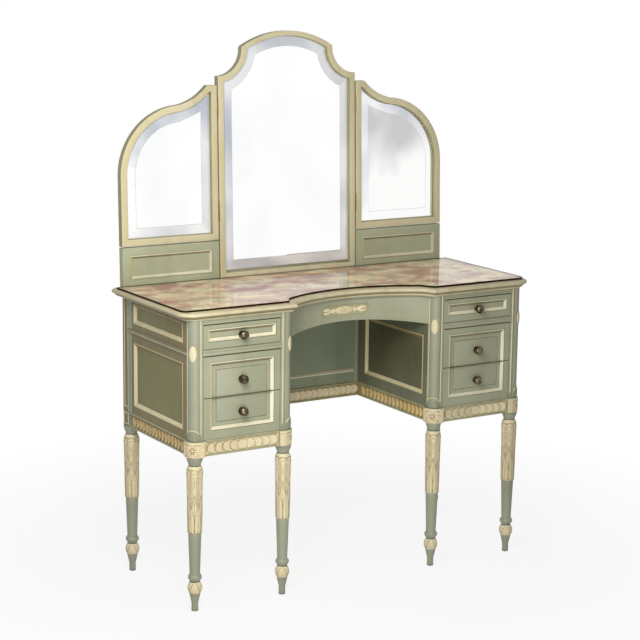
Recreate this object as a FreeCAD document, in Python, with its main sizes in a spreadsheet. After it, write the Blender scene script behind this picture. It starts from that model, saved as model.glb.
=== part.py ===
import FreeCAD, Part
import os
import re
import Sketcher

# Kneehole dressing table with six drawers, a cloth-covered top under glass and a triple mirror.
# Millimetres, +Z up, +X to the sitter's right, -Y towards the sitter, origin on the floor
# under the middle of the whole piece.

SIZES = {
    # Heights
    "leg_height": 396, "case_height": 346, "block_height": 40, "top_thick": 14, "cloth_thick": 1,
    "glass_thick": 5,
    # Leg axes, and the case faces ahead of and behind them
    "leg_outer": 480.5, "leg_inner": 230, "leg_span": 354,
    "face_step": 13, "post_half": 17, "rear_step": 20,
    # Turned leg, from the floor up
    "glide_height": 4, "glide_radius": 9, "nail_radius": 1.6, "nail_length": 12,
    "foot_radius": 8.5, "foot_straight": 22, "foot_height": 44, "foot_top_radius": 14.5,
    "bulb_height": 27, "bulb_neck_radius": 14, "bulb_swell": 4.5,
    "neck_height": 6, "ring_height": 14, "ring_radius": 14.5, "ring_swell": 3,
    "shaft_low_radius": 13, "shaft_top_radius": 16.5,
    "sleeve_low_radius": 18, "sleeve_top_radius": 21, "shoulder_height": 8, "sleeve_share": 0.602,
    "throat_radius": 15.5, "capital_radius": 20.5, "capital_height": 22, "capital_swell": 1.5,
    "tenon_radius": 10, "tenon_length": 30, "joint_clearance": 0.1,
    # Corner posts
    "column_radius": 16.5, "column_side": 4, "block_radius": 28.5, "block_side": 21, "block_shift": 6,
    # Case boards
    "frame_thick": 20, "side_stile": 20, "rear_stile": 29, "side_rail": 22, "upper_low_margin": 12,
    "upper_high_margin": 17, "lower_high_margin": 23, "panel_thick": 8, "panel_setback": 5,
    "panel_tongue": 5, "panel_play": 0.5, "knee_rail": 30, "knee_high_margin": 118, "knee_stile": 38,
    "corner_stile_width": 12, "back_thick": 8, "floor_thick": 12, "band_thick": 18,
    "rail_depth": 40, "top_rail": 17, "mid_rail": 15,
    # Drawers
    "drawer_gap": 1, "top_drawer": 61, "front_thick": 18, "box_side": 10, "box_play": 1.5,
    "box_lift": 13, "box_rear_gap": 21, "bottom_thick": 5, "bottom_lift": 6, "groove_depth": 4,
    "runner_thick": 12, "runner_reach": 11, "slide_play": 0.4, "box_headroom": 1,
    "mould_side": 13, "mould_top": 13, "mould_bottom": 19, "low_mould_side": 18, "low_mould_top": 18,
    "low_mould_bottom": 23, "mould_width": 9, "mould_rise": 1.5,
    # Knob
    "knob_radius": 11.5, "knob_drop": 2, "knob_from_split": 40, "knob_reach": 19, "knob_flat": 2,
    "knob_neck_radius": 5, "plate_radius": 11, "plate_thick": 2,
    "shank_radius": 2.5, "nut_radius": 4, "nut_thick": 3,
    # Top
    "nose_side": 30, "nose_front": 15, "nose_rear": 12, "nose_thick": 9, "nose_round": 4,
    "cove_inset": 9, "corner_round": 40, "rear_clip": 11,
    "step_inset": 22, "step_width": 18, "step_depth": 34, "bay_rise": 56, "glass_inset_side": 9,
    "glass_inset_front": 22, "glass_gap": 1.5,
    # Apron
    "apron_inset": 22, "apron_thick": 18, "arch_drop": 83, "arch_rise": 16, "cartouche_drop": 39,
    "cartouche_half": 74, "cartouche_radius": 15, "cartouche_depth": 2.5, "ornament_rise": 2,
    "ornament_seat": 0.3, "ornament_oval_half": 27, "ornament_oval_radius": 10.5, "ornament_bud_half": 15,
    "ornament_bud_radius": 9, "ornament_collar_half": 4.5, "ornament_collar_radius": 5,
    # Mirrors, in their own leaning plane
    "mirror_setback": 10.5, "lean_run": 21.1, "arch_top": 643.5, "mirror_inset": 6,
    "shoulder_drop": 114.5, "neck_radius": 72, "crown_rise": 39.8, "frame_face": 17, "arch_face": 13.5,
    "frame_depth": 20, "sight_depth": 9, "rebate": 6, "glass_play": 0.5, "mirror_thick": 4,
    "backboard_thick": 4,
    "wing_gap": 3.4, "wing_proud": 1.5, "plinth_height": 98, "plinth_gap": 3, "wing_drop": 23,
    "wing_flat": 28, "wing_face": 18, "scroll_radius": 150, "brow_radius": 179, "brow_drop": 226.7,
    "brow_width": 167,
    "plinth_margin": 22, "plinth_mould": 8, "plinth_mould_rise": 1.5,
    # Shares
    "neck_turn_share": 0.978, "flat_shift_share": 0.3,
    # Hinges
    "hinge_length": 51, "hinge_low": 150, "hinge_high": 420, "leaf_thick": 1.4, "leaf_width": 16,
    "knuckle_radius": 1.6, "pin_radius": 0.8, "pin_play": 0.05, "pin_ahead": 0.2, "knuckle_play": 0.3,
    # Battens that hold the mirror up
    "batten_inset": 21, "batten_width": 40, "batten_thick": 18, "batten_foot": 150, "batten_height": 490,
    "screw_radius": 2, "screw_head_radius": 4, "screw_head_thick": 1.5, "screw_bite": 11,
    "screw_low": 60, "screw_high": 430, "screw_drop": 40,
}

# Places worked out from the sizes; each may use the sizes and the places above it.
PLACES = {
    "lean_length": "sqrt(lean_run ^ 2 + arch_top ^ 2)",
    "lean_sin": "(lean_run / lean_length)",
    "lean_cos": "(arch_top / lean_length)",
    "front_reach": "(face_step + knob_reach)",
    "mirror_reach": "(leg_span + mirror_setback)",
    "rear_reach": "(mirror_reach + (frame_depth + batten_thick) * lean_cos + batten_height * lean_sin)",
    "front_y": "((front_reach - rear_reach) / 2)",
    "rear_y": "(front_y + leg_span)",
    "face_y": "(front_y - face_step)",
    "nose_y": "(face_y - nose_front)",
    "back_y": "(rear_y + rear_step)",
    "top_back_y": "(back_y + nose_rear)",
    "mirror_y": "(front_y + mirror_reach)",
    "side_x": "(leg_outer + face_step)",
    "knee_x": "(leg_inner - face_step)",
    "step_half": "(leg_inner - step_inset)",
    "bay_half": "(step_half - step_width)",
    "bay_in": "(leg_inner + post_half)",
    "bay_out": "(leg_outer - post_half)",
    "bay_mid": "((bay_in + bay_out) / 2)",
    "side_in": "(side_x - frame_thick)",
    "knee_in": "(knee_x + frame_thick)",
    "post_back": "(front_y + post_half)",
    "rear_front": "(rear_y - post_half)",
    "band_top": "(leg_height + block_height)",
    "case_top": "(leg_height + case_height)",
    "board_top": "(case_top + top_thick)",
    "table_height": "(board_top + cloth_thick + glass_thick)",
    "arch_end": "(case_top - arch_drop)",
    "arch_middle": "(arch_end + arch_rise)",
    "cartouche_z": "(case_top - cartouche_drop)",
    "bulb_z": "(glide_height + foot_height)",
    "neck_low": "(bulb_z + bulb_height)",
    "ring_z": "(neck_low + neck_height)",
    "shaft_z": "(ring_z + ring_height)",
    "throat_z": "(leg_height - capital_height)",
    "sleeve_end": "(throat_z - shoulder_height)",
    "sleeve_z": "(sleeve_end - sleeve_share * (sleeve_end - shaft_z))",
    "low_drawer": "((case_top - top_rail - top_drawer - mid_rail - 5 * drawer_gap - band_top) / 2)",
    "bottom_z": "(band_top + drawer_gap)",
    "middle_z": "(bottom_z + low_drawer + drawer_gap)",
    "mid_rail_z": "(middle_z + low_drawer + drawer_gap)",
    "top_z": "(mid_rail_z + mid_rail + drawer_gap)",
    "top_rail_z": "(case_top - top_rail)",
    "box_y": "(face_y + front_thick)",
    "box_end": "(back_y - back_thick - box_rear_gap)",
    "foot_drop": "((glass_thick + cloth_thick - frame_depth * lean_sin) / lean_cos)",
    "centre_half": "(knee_x - mirror_inset)",
    "batten_x": "(centre_half - batten_inset)",
    "shoulder": "(arch_top - shoulder_drop)",
    "arch_radius": "(((centre_half - neck_radius) ^ 2 + crown_rise ^ 2) / (2 * crown_rise))",
    "wing_half": "(side_x + wing_proud)",
    "wing_top": "(shoulder - wing_drop)",
    "brow_height": "(wing_top - brow_drop)",
    "brow_x": "(wing_half - brow_width)",
    "wing_in": "(centre_half + wing_gap)",
    "pin_x": "(centre_half + wing_gap / 2)",
    "wing_low": "(plinth_height + plinth_gap)",
    "neck_z": "(shoulder + neck_radius)",
    "arch_z": "(arch_top - arch_radius)",
    "arc_front": "(nose_y + step_depth + bay_rise)",
    "bay_radius": "((bay_half ^ 2 + bay_rise ^ 2) / (2 * bay_rise))",
    "bay_centre": "(arc_front - bay_radius)",
    "apron_radius": "(bay_radius + apron_inset)",
}

OUT, IN = 1, -1
NEAR = 0.001

doc = FreeCAD.newDocument("DressingTable")
sheet = doc.addObject("Spreadsheet::Sheet", "Sizes")
kept = []


def fill_sheet():
    """Write every driving size in its own named cell."""
    for row, (name, size) in enumerate(SIZES.items(), start=1):
        sheet.set("A%d" % row, name)
        sheet.set("B%d" % row, str(size))
        sheet.setAlias("B%d" % row, name)
    doc.recompute()


def ex(text):
    """Turn a sum of size and place names into an expression of the sheet's cells."""
    def swap(match):
        word = match.group(0)
        if word in PLACES:
            return ex(PLACES[word])
        return "Sizes." + word if word in SIZES else word
    return re.sub(r"[a-z_]+", swap, text)


def value(text):
    """The number that a sum of names has now."""
    number = sheet.evalExpression(ex(text))
    return float(getattr(number, "Value", number))


def bind(thing, path, text):
    """Tie one property of an object to a sum of names."""
    thing.setExpression(path, ex(text))


def put(thing, across, back, up):
    """Tie an object's place."""
    for axis, text in zip("xyz", (across, back, up)):
        bind(thing, "Placement.Base." + axis, text)
    return thing


def keep(thing, label):
    """Name a finished sub-part and set it aside to be written."""
    thing.Label = label
    kept.append(thing)
    return thing


def board(name, low, high):
    """A rectangular board between two corners."""
    box = doc.addObject("Part::Box", name)
    for side, start, end in zip(("Length", "Width", "Height"), low, high):
        bind(box, side, "(%s) - (%s)" % (end, start))
    return put(box, *low)


def rod(name, radius, length, at, axis="z"):
    """A round bar from a point, along one axis."""
    bar = doc.addObject("Part::Cylinder", name)
    turns = {"x": ((0, 1, 0), 90), "y": ((1, 0, 0), -90), "z": ((0, 0, 1), 0)}
    direction, angle = turns[axis]
    bar.Placement = FreeCAD.Placement(FreeCAD.Vector(), FreeCAD.Rotation(FreeCAD.Vector(*direction), angle))
    bind(bar, "Radius", radius)
    bind(bar, "Height", length)
    return put(bar, *at)


def joined(name, parts):
    """One solid from several."""
    union = doc.addObject("Part::MultiFuse", name)
    union.Shapes = parts
    return union


def cut(name, base, tool):
    """The base with the tool's space taken out."""
    rest = doc.addObject("Part::Cut", name)
    rest.Base = base
    rest.Tool = tool
    return rest


def shared(name, base, tool):
    """The space that two shapes share."""
    both = doc.addObject("Part::Common", name)
    both.Base = base
    both.Tool = tool
    return both


def group(name, parts):
    """Separate solids kept together."""
    bundle = doc.addObject("Part::Compound", name)
    bundle.Links = parts
    return bundle


def mirrored(name, source):
    """The same piece on the other side of the middle."""
    twin = doc.addObject("Part::Mirroring", name)
    twin.Source = source
    twin.Normal = FreeCAD.Vector(1, 0, 0)
    return twin


def pair(name, source):
    """A piece and its mirror image, in one node."""
    return group(name, [source, mirrored(name + "_twin", source)])


def radius(text, side):
    """An edge that is an arc of a stated radius."""
    return ("radius", text, side)


def swell(text, side):
    """An edge that is an arc, by how far it stands off its chord."""
    return ("swell", text, side)


def arc_radius(bend, start, end):
    """The radius of a bent edge, as a sum of names."""
    if bend[0] == "radius":
        return "(%s)" % bend[1]
    chord = "((%s) - (%s)) ^ 2 + ((%s) - (%s)) ^ 2" % (end[0], start[0], end[1], start[1])
    return "((%s) / (8 * (%s)) + (%s) / 2)" % (chord, bend[1], bend[1])


def first_arc(start, end, size, side):
    """An arc of the right size and side between two points, where the sketch starts from."""
    begin, finish = FreeCAD.Vector(*start), FreeCAD.Vector(*end)
    half = (finish - begin) * 0.5
    normal = FreeCAD.Vector(-half.y, half.x, 0).normalize()
    reach = max(size * size - half.Length * half.Length, 0) ** 0.5
    centre = begin + half + normal * (reach * side)
    circle = Part.Circle(centre, FreeCAD.Vector(0, 0, 1), size)
    ends = (begin, finish) if side == OUT else (finish, begin)
    return Part.ArcOfCircle(circle, circle.parameter(ends[0]), circle.parameter(ends[1]))


def pin_down(sketch, kind, axis, edge, corner, text):
    """Hold one coordinate of a corner."""
    if text == "0":
        sketch.addConstraint(Sketcher.Constraint("PointOnObject", edge, corner, axis))
        return
    index = sketch.addConstraint(Sketcher.Constraint(kind, -1, 1, edge, corner, value(text)))
    sketch.setExpression("Constraints[%d]" % index, ex(text))


def draw(sketch, path):
    """Draw a closed outline, counter-clockwise; a corner with a bend is reached by an arc."""
    edges = []
    for number, corner in enumerate(path):
        start, end = path[number - 1], corner
        here, there = [tuple(value(text) for text in point[:2]) + (0,) for point in (start, end)]
        if len(corner) == 2:
            line = Part.LineSegment(FreeCAD.Vector(*here), FreeCAD.Vector(*there))
            edges.append((sketch.addGeometry(line, False), 1, 2))
            continue
        size = arc_radius(corner[2], start, end)
        side = corner[2][2]
        edge = sketch.addGeometry(first_arc(here, there, value(size), side), False)
        edges.append((edge, 1, 2) if side == OUT else (edge, 2, 1))
        index = sketch.addConstraint(Sketcher.Constraint("Radius", edge, value(size)))
        sketch.setExpression("Constraints[%d]" % index, ex(size))
    for number, (edge, first, last) in enumerate(edges):
        after, begin, finish = edges[(number + 1) % len(edges)]
        sketch.addConstraint(Sketcher.Constraint("Coincident", edge, last, after, begin))
        pin_down(sketch, "DistanceX", -2, edge, last, path[number][0])
        pin_down(sketch, "DistanceY", -1, edge, last, path[number][1])


def sketched(name, plane, paths, start="0"):
    """A body with one sketch on an origin plane, moved along that plane's world axis."""
    body = doc.addObject("PartDesign::Body", name)
    sketch = body.newObject("Sketcher::SketchObject", name + "_sketch")
    support = [item for item in body.Origin.OriginFeatures if item.Role == plane][0]
    sketch.AttachmentSupport = (support, [""])
    sketch.MapMode = "FlatFace"
    flip = "-1 * " if plane == "XZ_Plane" else ""
    if start != "0":
        bind(sketch, "AttachmentOffset.Base.z", "%s(%s)" % (flip, start))
    for path in paths:
        draw(sketch, path)
    return body, sketch


def slab(name, plane, paths, start, end):
    """A flat piece: an outline, with any holes, thickened from start to end."""
    body, sketch = sketched(name, plane, paths, start)
    pad = body.newObject("PartDesign::Pad", name + "_pad")
    pad.Profile = sketch
    pad.Reversed = plane == "XZ_Plane"
    bind(pad, "Length", "(%s) - (%s)" % (end, start))
    return body


def turned(name, path):
    """A piece turned about its own upright axis."""
    body, sketch = sketched(name, "XZ_Plane", [path])
    spin = body.newObject("PartDesign::Revolution", name + "_turning")
    spin.Profile = sketch
    spin.ReferenceAxis = (sketch, ["V_Axis"])
    spin.Angle = 360
    return body


def rectangle(left, low, right, high):
    """A rectangular outline."""
    return [(left, low), (right, low), (right, high), (left, high)]


def lean(thing):
    """Stand a piece of the mirror in its leaning plane."""
    bind(thing, "Placement.Rotation.Angle", "-1 * atan(lean_run / arch_top)")
    thing.Placement.Rotation.Axis = FreeCAD.Vector(1, 0, 0)
    return put(thing, "0", "mirror_y", "table_height")


def leg(name, across, back):
    """Turned leg with a bulb foot, a plain shaft, a leaf sleeve and a tenon at its top."""
    path = [
        ("nail_radius + joint_clearance", "glide_height"),
        ("foot_radius", "glide_height"),
        ("foot_radius", "foot_straight"),
        ("foot_top_radius", "bulb_z"),
        ("bulb_neck_radius", "neck_low", swell("bulb_swell", OUT)),
        ("ring_radius", "ring_z", swell("neck_height / 4", IN)),
        ("ring_radius", "shaft_z", swell("ring_swell", OUT)),
        ("shaft_low_radius", "shaft_z"),
        ("shaft_top_radius", "sleeve_z"),
        ("sleeve_low_radius", "sleeve_z"),
        ("sleeve_top_radius", "sleeve_end"),
        ("throat_radius", "throat_z", swell("shoulder_height / 4", OUT)),
        ("capital_radius", "leg_height", swell("capital_swell", OUT)),
        ("tenon_radius", "leg_height"),
        ("tenon_radius", "leg_height + tenon_length"),
        ("0", "leg_height + tenon_length"),
        ("0", "glide_height + nail_length + joint_clearance"),
        ("nail_radius + joint_clearance", "glide_height + nail_length + joint_clearance"),
    ]
    return keep(put(turned(name, path), across, back, "0"), name)


def legs():
    """Four front legs and two rear ones, each with a nailed glide."""
    places = {
        "leg_front_outer_left": ("-leg_outer", "front_y"),
        "leg_front_inner_left": ("-leg_inner", "front_y"),
        "leg_front_inner_right": ("leg_inner", "front_y"),
        "leg_front_outer_right": ("leg_outer", "front_y"),
        "leg_rear_left": ("-leg_outer", "rear_y"),
        "leg_rear_right": ("leg_outer", "rear_y"),
    }
    glides = []
    for name, place in places.items():
        leg(name, *place)
        glide = turned(name + "_glide", [
            ("glide_radius * 3 / 4", "0"),
            ("glide_radius", "glide_height / 2", swell("glide_height / 8", OUT)),
            ("glide_radius", "glide_height"),
            ("nail_radius", "glide_height"),
            ("nail_radius", "glide_height + nail_length"),
            ("0", "glide_height + nail_length"),
            ("0", "0"),
        ])
        glides.append(put(glide, place[0], place[1], "0"))
    keep(group("leg_glides", glides), "leg_glides")


def front_post():
    """Front outer post: a core with a quarter-round column over a drum-shaped block."""
    def at(across, back):
        return ("leg_outer + (%s)" % across, "front_y - (%s)" % back)
    size, side = "column_radius", "column_side"
    edge = "sqrt(%s ^ 2 - %s ^ 2)" % (size, side)
    drum = "(sqrt(block_radius ^ 2 - (block_side - block_shift) ^ 2) - block_shift)"
    column = [at("-post_half", "-post_half"), at("-post_half", "face_step"), at("-" + side, "face_step"),
              at("-" + side, edge), at(edge, "-" + side) + (radius(size, OUT),),
              at("face_step", "-" + side), at("face_step", "-post_half")]
    block = [at("-block_side", "-block_side"), at("-block_side", drum),
             at(drum, "-block_side") + (radius("block_radius", OUT),)]
    post = joined("post_parts", [slab("post_column", "XY_Plane", [column], "band_top", "case_top"),
                                 slab("post_block", "XY_Plane", [block], "leg_height", "band_top")])
    return cut("outer_post", post, mortise("outer_post", "leg_outer", "front_y"))


def mortise(name, axis_x, axis_y):
    """The round hole that a leg's tenon enters."""
    return rod(name + "_mortise", "tenon_radius + joint_clearance", "tenon_length + 5 * joint_clearance",
               (axis_x, axis_y, "leg_height"))


def posts():
    """Front posts in pairs, plain rear posts, and the stiles at the back of the kneehole."""
    outer = front_post()
    inner = mirrored("inner_post", outer)
    bind(inner, "Base.x", "bay_mid")
    keep(pair("outer_posts", outer), "outer_posts")
    keep(pair("inner_posts", inner), "inner_posts")
    rear = board("rear_post", ("bay_out", "rear_front", "leg_height"), ("side_x", "back_y", "case_top"))
    rear = cut("rear_post_bored", rear, mortise("rear_post", "leg_outer", "rear_y"))
    keep(pair("rear_posts", rear), "rear_posts")
    stile = board("kneehole_stile", ("knee_x - corner_stile_width", "back_y - frame_thick", "band_top"),
                  ("knee_in", "back_y", "case_top"))
    keep(pair("kneehole_stiles", stile), "kneehole_stiles")


def window(low_y, low_z, high_y, high_z, margin_y, margin_z):
    """A rectangle inside another one."""
    return rectangle("(%s) + %s" % (low_y, margin_y), "(%s) + %s" % (low_z, margin_z),
                     "(%s) - %s" % (high_y, margin_y), "(%s) - %s" % (high_z, margin_z))


def panel(name, low_y, low_z, high_y, high_z, face_x):
    """A thin panel with its tongues in the grooves round a window of an upright frame."""
    reach = "(panel_tongue - panel_play)"
    return board(name, (face_x, "(%s) - %s" % (low_y, reach), "(%s) - %s" % (low_z, reach)),
                 (face_x + " + panel_thick", "(%s) + %s" % (high_y, reach), "(%s) + %s" % (high_z, reach)))


def case_sides():
    """Outer and kneehole sides of the pedestals, each a frame that holds panels in grooves."""
    low_y, high_y = "post_back", "rear_front"
    left, right = low_y + " + side_stile", high_y + " - rear_stile"
    upper = (left, "top_z + upper_low_margin", right, "case_top - upper_high_margin")
    lower = (left, "band_top + side_rail", right, "mid_rail_z - lower_high_margin")
    frame = slab("side_frame", "YZ_Plane",
                 [rectangle(low_y, "band_top", high_y, "case_top"), rectangle(*upper), rectangle(*lower)],
                 "side_in", "side_x")
    face = "side_x - panel_setback - panel_thick"
    outer = group("side_fields", [panel("side_panel_upper", *upper, face),
                                  panel("side_panel_lower", *lower, face)])
    keep(pair("side_frames", cut("side_frame_grooved", frame, outer)), "side_frames")
    high_y = "back_y - frame_thick"
    opening = (low_y + " + side_stile", "band_top + knee_rail", high_y + " - knee_stile",
               "case_top - knee_high_margin")
    frame = slab("kneehole_side", "YZ_Plane",
                 [rectangle(low_y, "band_top", high_y, "case_top"), rectangle(*opening)],
                 "knee_x", "knee_in")
    inner = panel("kneehole_side_panel", *opening, "knee_x + panel_setback")
    keep(pair("kneehole_sides", cut("kneehole_side_grooved", frame, inner)), "kneehole_sides")
    keep(pair("case_panels", group("case_fields", [outer, inner])), "case_panels")


def case_backs():
    """The kneehole's back board, and the thin backs of the two pedestals."""
    half = "(knee_x - corner_stile_width)"
    front, back = "back_y - frame_thick * 9 / 10", "back_y"
    rail = board("kneehole_back_board", ("-" + half, front, "band_top"), (half, back, "case_top"))
    hollow = board("kneehole_back_field", ("-" + half, front, "band_top + knee_rail"),
                   (half, front + " + panel_setback", "case_top"))
    keep(cut("kneehole_back", rail, hollow), "kneehole_back")
    back_board = board("pedestal_back", ("knee_in", "back_y - back_thick", "band_top"),
                       ("bay_out", "back_y", "case_top"))
    keep(pair("pedestal_backs", back_board), "pedestal_backs")


def carved_bands():
    """The bottom rails, carved on the outside: fronts, outer sides, and round the kneehole."""
    front = board("front_band", ("leg_inner + block_side", "face_y", "leg_height"),
                  ("leg_outer - block_side", "face_y + band_thick", "band_top"))
    keep(pair("front_bands", front), "front_bands")
    side = board("side_band", ("side_x - band_thick", "front_y + block_side", "leg_height"),
                 ("side_x", "rear_front", "band_top"))
    keep(pair("side_bands", side), "side_bands")
    knee = board("kneehole_band", ("knee_x", "front_y + block_side", "leg_height"),
                 ("knee_x + band_thick", "back_y - frame_thick", "band_top"))
    twin = mirrored("kneehole_band_twin", knee)
    rear = board("rear_band", ("-bay_out", "back_y - frame_thick", "leg_height"),
                 ("bay_out", "back_y", "band_top"))
    keep(group("kneehole_bands", [knee, twin, rear]), "kneehole_bands")


def inner_woodwork():
    """Floors, drawer rails and runners of the pedestals."""
    floor = board("pedestal_floor", ("knee_x + band_thick", "face_y + band_thick", "band_top - floor_thick"),
                  ("side_x - band_thick", "back_y - frame_thick", "band_top"))
    for name, low_x, high_x in (("outer", "leg_outer - block_side", "side_x"),
                                ("inner", "knee_x", "leg_inner + block_side")):
        notch = board(name + "_floor_notch", (low_x, "face_y", "leg_height"),
                      (high_x, "front_y + block_side", "band_top"))
        floor = cut(name + "_floor_notched", floor, notch)
    rear_notch = board("rear_floor_notch", ("bay_out", "rear_front", "leg_height"),
                       ("side_x", "back_y", "case_top"))
    keep(pair("pedestal_floors", cut("floor_notched", floor, rear_notch)), "pedestal_floors")
    split = runner_top("middle_z")
    rails = [board("top_rail_board", ("bay_in", "face_y", "top_rail_z"),
                   ("bay_out", "face_y + rail_depth", "case_top")),
             board("mid_rail_board", ("bay_in", "face_y", "mid_rail_z"),
                   ("bay_out", "face_y + rail_depth", "mid_rail_z + mid_rail")),
             board("split_rail_board", ("bay_in", "box_y + slide_play", split + " - runner_thick"),
                   ("bay_out", "face_y + rail_depth", split))]
    keep(pair("drawer_rails", group("bay_rails", rails)), "drawer_rails")
    runners = []
    for name, low in (("top", "top_z"), ("middle", "middle_z"), ("bottom", "bottom_z")):
        runners += runner_pair(name, low)
    keep(pair("drawer_runners", group("bay_runners", runners)), "drawer_runners")


def runner_top(low):
    """Height of the surface that a drawer slides on."""
    return "(%s + box_lift - slide_play)" % low


def runner_pair(name, low):
    """The two runners of a drawer, each with a guide strip beside the drawer's side."""
    top = runner_top(low)
    under = "(%s) - runner_thick" % top
    guide = "%s + runner_thick" % top
    inner = [("knee_in", under), ("bay_in + runner_reach", under), ("bay_in + runner_reach", top),
             ("bay_in + box_play - slide_play", top), ("bay_in + box_play - slide_play", guide),
             ("knee_in", guide)]
    outer = [("bay_out - runner_reach", under), ("side_in", under), ("side_in", guide),
             ("bay_out - box_play + slide_play", guide), ("bay_out - box_play + slide_play", top),
             ("bay_out - runner_reach", top)]
    start, end = "face_y + rail_depth", "back_y - back_thick"
    return [slab(name + "_runner_inner", "XZ_Plane", [inner], start, end),
            slab(name + "_runner_outer", "XZ_Plane", [outer], start, "rear_front")]


def ring(low_x, low_z, high_x, high_z, width):
    """A rectangular ring, as an outline and its hole."""
    return [rectangle(low_x, low_z, high_x, high_z), window(low_x, low_z, high_x, high_z, width, width)]


def drawer_front(name, low, height, kind):
    """A drawer's front with its raised moulding; the lower two share one moulding."""
    high = "%s + %s" % (low, height)
    plate = board(name + "_plate", ("bay_in + drawer_gap", "face_y", low),
                  ("bay_out - drawer_gap", "box_y", high))
    lead = "" if kind == "top" else "low_"
    left, right = "bay_in + drawer_gap + %smould_side" % lead, "bay_out - drawer_gap - %smould_side" % lead
    bottom, top = "%s + %smould_bottom" % (low, lead), "%s - %smould_top" % (high, lead)
    left_in, right_in = left + " + mould_width", right + " - mould_width"
    if kind == "top":
        paths = ring(left, bottom, right, top, "mould_width")
    elif kind == "middle":
        top_in = top + " - mould_width"
        paths = [[(left, low), (left_in, low), (left_in, top_in), (right_in, top_in), (right_in, low),
                  (right, low), (right, top), (left, top)]]
    else:
        bottom_in = bottom + " + mould_width"
        paths = [[(left, bottom), (right, bottom), (right, high), (right_in, high), (right_in, bottom_in),
                  (left_in, bottom_in), (left_in, high), (left, high)]]
    ridge = slab(name + "_moulding", "XZ_Plane", paths, "face_y - mould_rise", "face_y + mould_rise")
    start = ("bay_mid", "face_y - mould_rise", knob_height(low, height, kind))
    hole = rod(name + "_hole", "shank_radius + joint_clearance", "front_thick + 2 * mould_rise", start, "y")
    seat = rod(name + "_seat", "plate_radius + joint_clearance", "mould_rise", start, "y")
    dressed = joined(name + "_dressed", [plate, ridge])
    return cut(name + "_bored", dressed, joined(name + "_bore", [hole, seat]))


def knob_height(low, height, kind):
    """Just under half way up a top drawer; the lower knobs stand evenly about the split between them."""
    places = {"top": "(%s + %s / 2 - knob_drop)" % (low, height),
              "middle": "(%s + knob_from_split - knob_drop)" % low,
              "bottom": "(%s + %s - knob_from_split - knob_drop)" % (low, height)}
    return places[kind]


def knob(name, height_z):
    """Turned metal knob on a round plate, with its shank through the front and a nut inside."""
    path = [
        ("0", "-front_thick - nut_thick"),
        ("shank_radius", "-front_thick - nut_thick"),
        ("shank_radius", "0"),
        ("plate_radius", "0"),
        ("plate_radius", "plate_thick / 2"),
        ("knob_neck_radius", "plate_thick", swell("plate_thick / 8", OUT)),
        ("knob_neck_radius", "plate_thick + knob_reach / 6"),
        ("knob_radius", "knob_reach * 3 / 5", swell("knob_reach / 20", OUT)),
        ("knob_flat", "knob_reach", swell("knob_reach / 10", OUT)),
        ("0", "knob_reach"),
    ]
    body = turned(name + "_turning", path)
    body.Placement.Rotation = FreeCAD.Rotation(FreeCAD.Vector(1, 0, 0), 90)
    put(body, "bay_mid", "face_y", height_z)
    seat = ("bay_mid", "box_y", height_z)
    nut = cut(name + "_nut", rod(name + "_nut_blank", "nut_radius", "nut_thick", seat, "y"),
              rod(name + "_nut_bore", "shank_radius + joint_clearance", "nut_thick", seat, "y"))
    return group(name + "_set", [body, nut])


def drawer_box(name, low, height):
    """The box behind a front: two grooved sides, a back, and a bottom let into the grooves."""
    left, right = "bay_in + box_play", "bay_out - box_play"
    base, top = "%s + box_lift" % low, "%s + %s - box_headroom" % (low, height)
    end = "box_end"
    floor_low, floor_high = base + " + bottom_lift", base + " + bottom_lift + bottom_thick"
    bottom = board(name + "_bottom", (left + " + box_side - groove_depth", "box_y", floor_low),
                   (right + " - box_side + groove_depth", end + " - box_side", floor_high))
    sides = [board(name + "_side_in", (left, "box_y", base), (left + " + box_side", end, top)),
             board(name + "_side_out", (right + " - box_side", "box_y", base), (right, end, top))]
    sides = [cut(side.Name + "_grooved", side, bottom) for side in sides]
    back = board(name + "_back", (left + " + box_side", end + " - box_side", base),
                 (right + " - box_side", end, top))
    return group(name + "_boards", sides + [back, bottom])


def drawers():
    """Three drawers in each pedestal; the right-hand ones are modelled, the left mirrored."""
    rows = (("top", "top_z", "top_drawer"), ("middle", "middle_z", "low_drawer"),
            ("bottom", "bottom_z", "low_drawer"))
    for row, low, height in rows:
        pieces = {"front": drawer_front(row + "_front", low, height, row),
                  "box": drawer_box(row + "_box", low, height),
                  "knob": knob(row + "_knob", knob_height(low, height, row))}
        for part, piece in pieces.items():
            keep(piece, "drawer_%s_right_%s" % (part, row))
            keep(mirrored("%s_%s_twin" % (row, part), piece), "drawer_%s_left_%s" % (part, row))


def top_path(side, front, back, clip="0"):
    """Plan of the top: round front corners, a hollow bay between them, and rear corners clipped or square."""
    half, low = "(side_x + nose_side - (%s))" % side, "(nose_y + (%s))" % front
    turn = "(corner_round - (%s))" % front
    step, bay = "(step_half + (%s) / 2)" % front, "(bay_half + (%s) / 2)" % front
    bay_low = "(bay_centre + sqrt((bay_radius + (%s)) ^ 2 - %s ^ 2))" % (front, bay)
    rear = [("%s - %s" % (half, clip), back), ("-%s + %s" % (half, clip), back)] if clip != "0" else []
    return rear + [
        ("-" + half, "%s - %s" % (back, clip)),
        ("-" + half, "%s + %s" % (low, turn)),
        ("-%s + %s" % (half, turn), low, radius(turn, OUT)),
        ("-" + step, low),
        ("-" + bay, bay_low),
        (bay, bay_low, radius("bay_radius + (%s)" % front, IN)),
        (step, low),
        ("%s - %s" % (half, turn), low),
        (half, "%s + %s" % (low, turn), radius(turn, OUT)),
        (half, "%s - %s" % (back, clip)),
    ]


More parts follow.
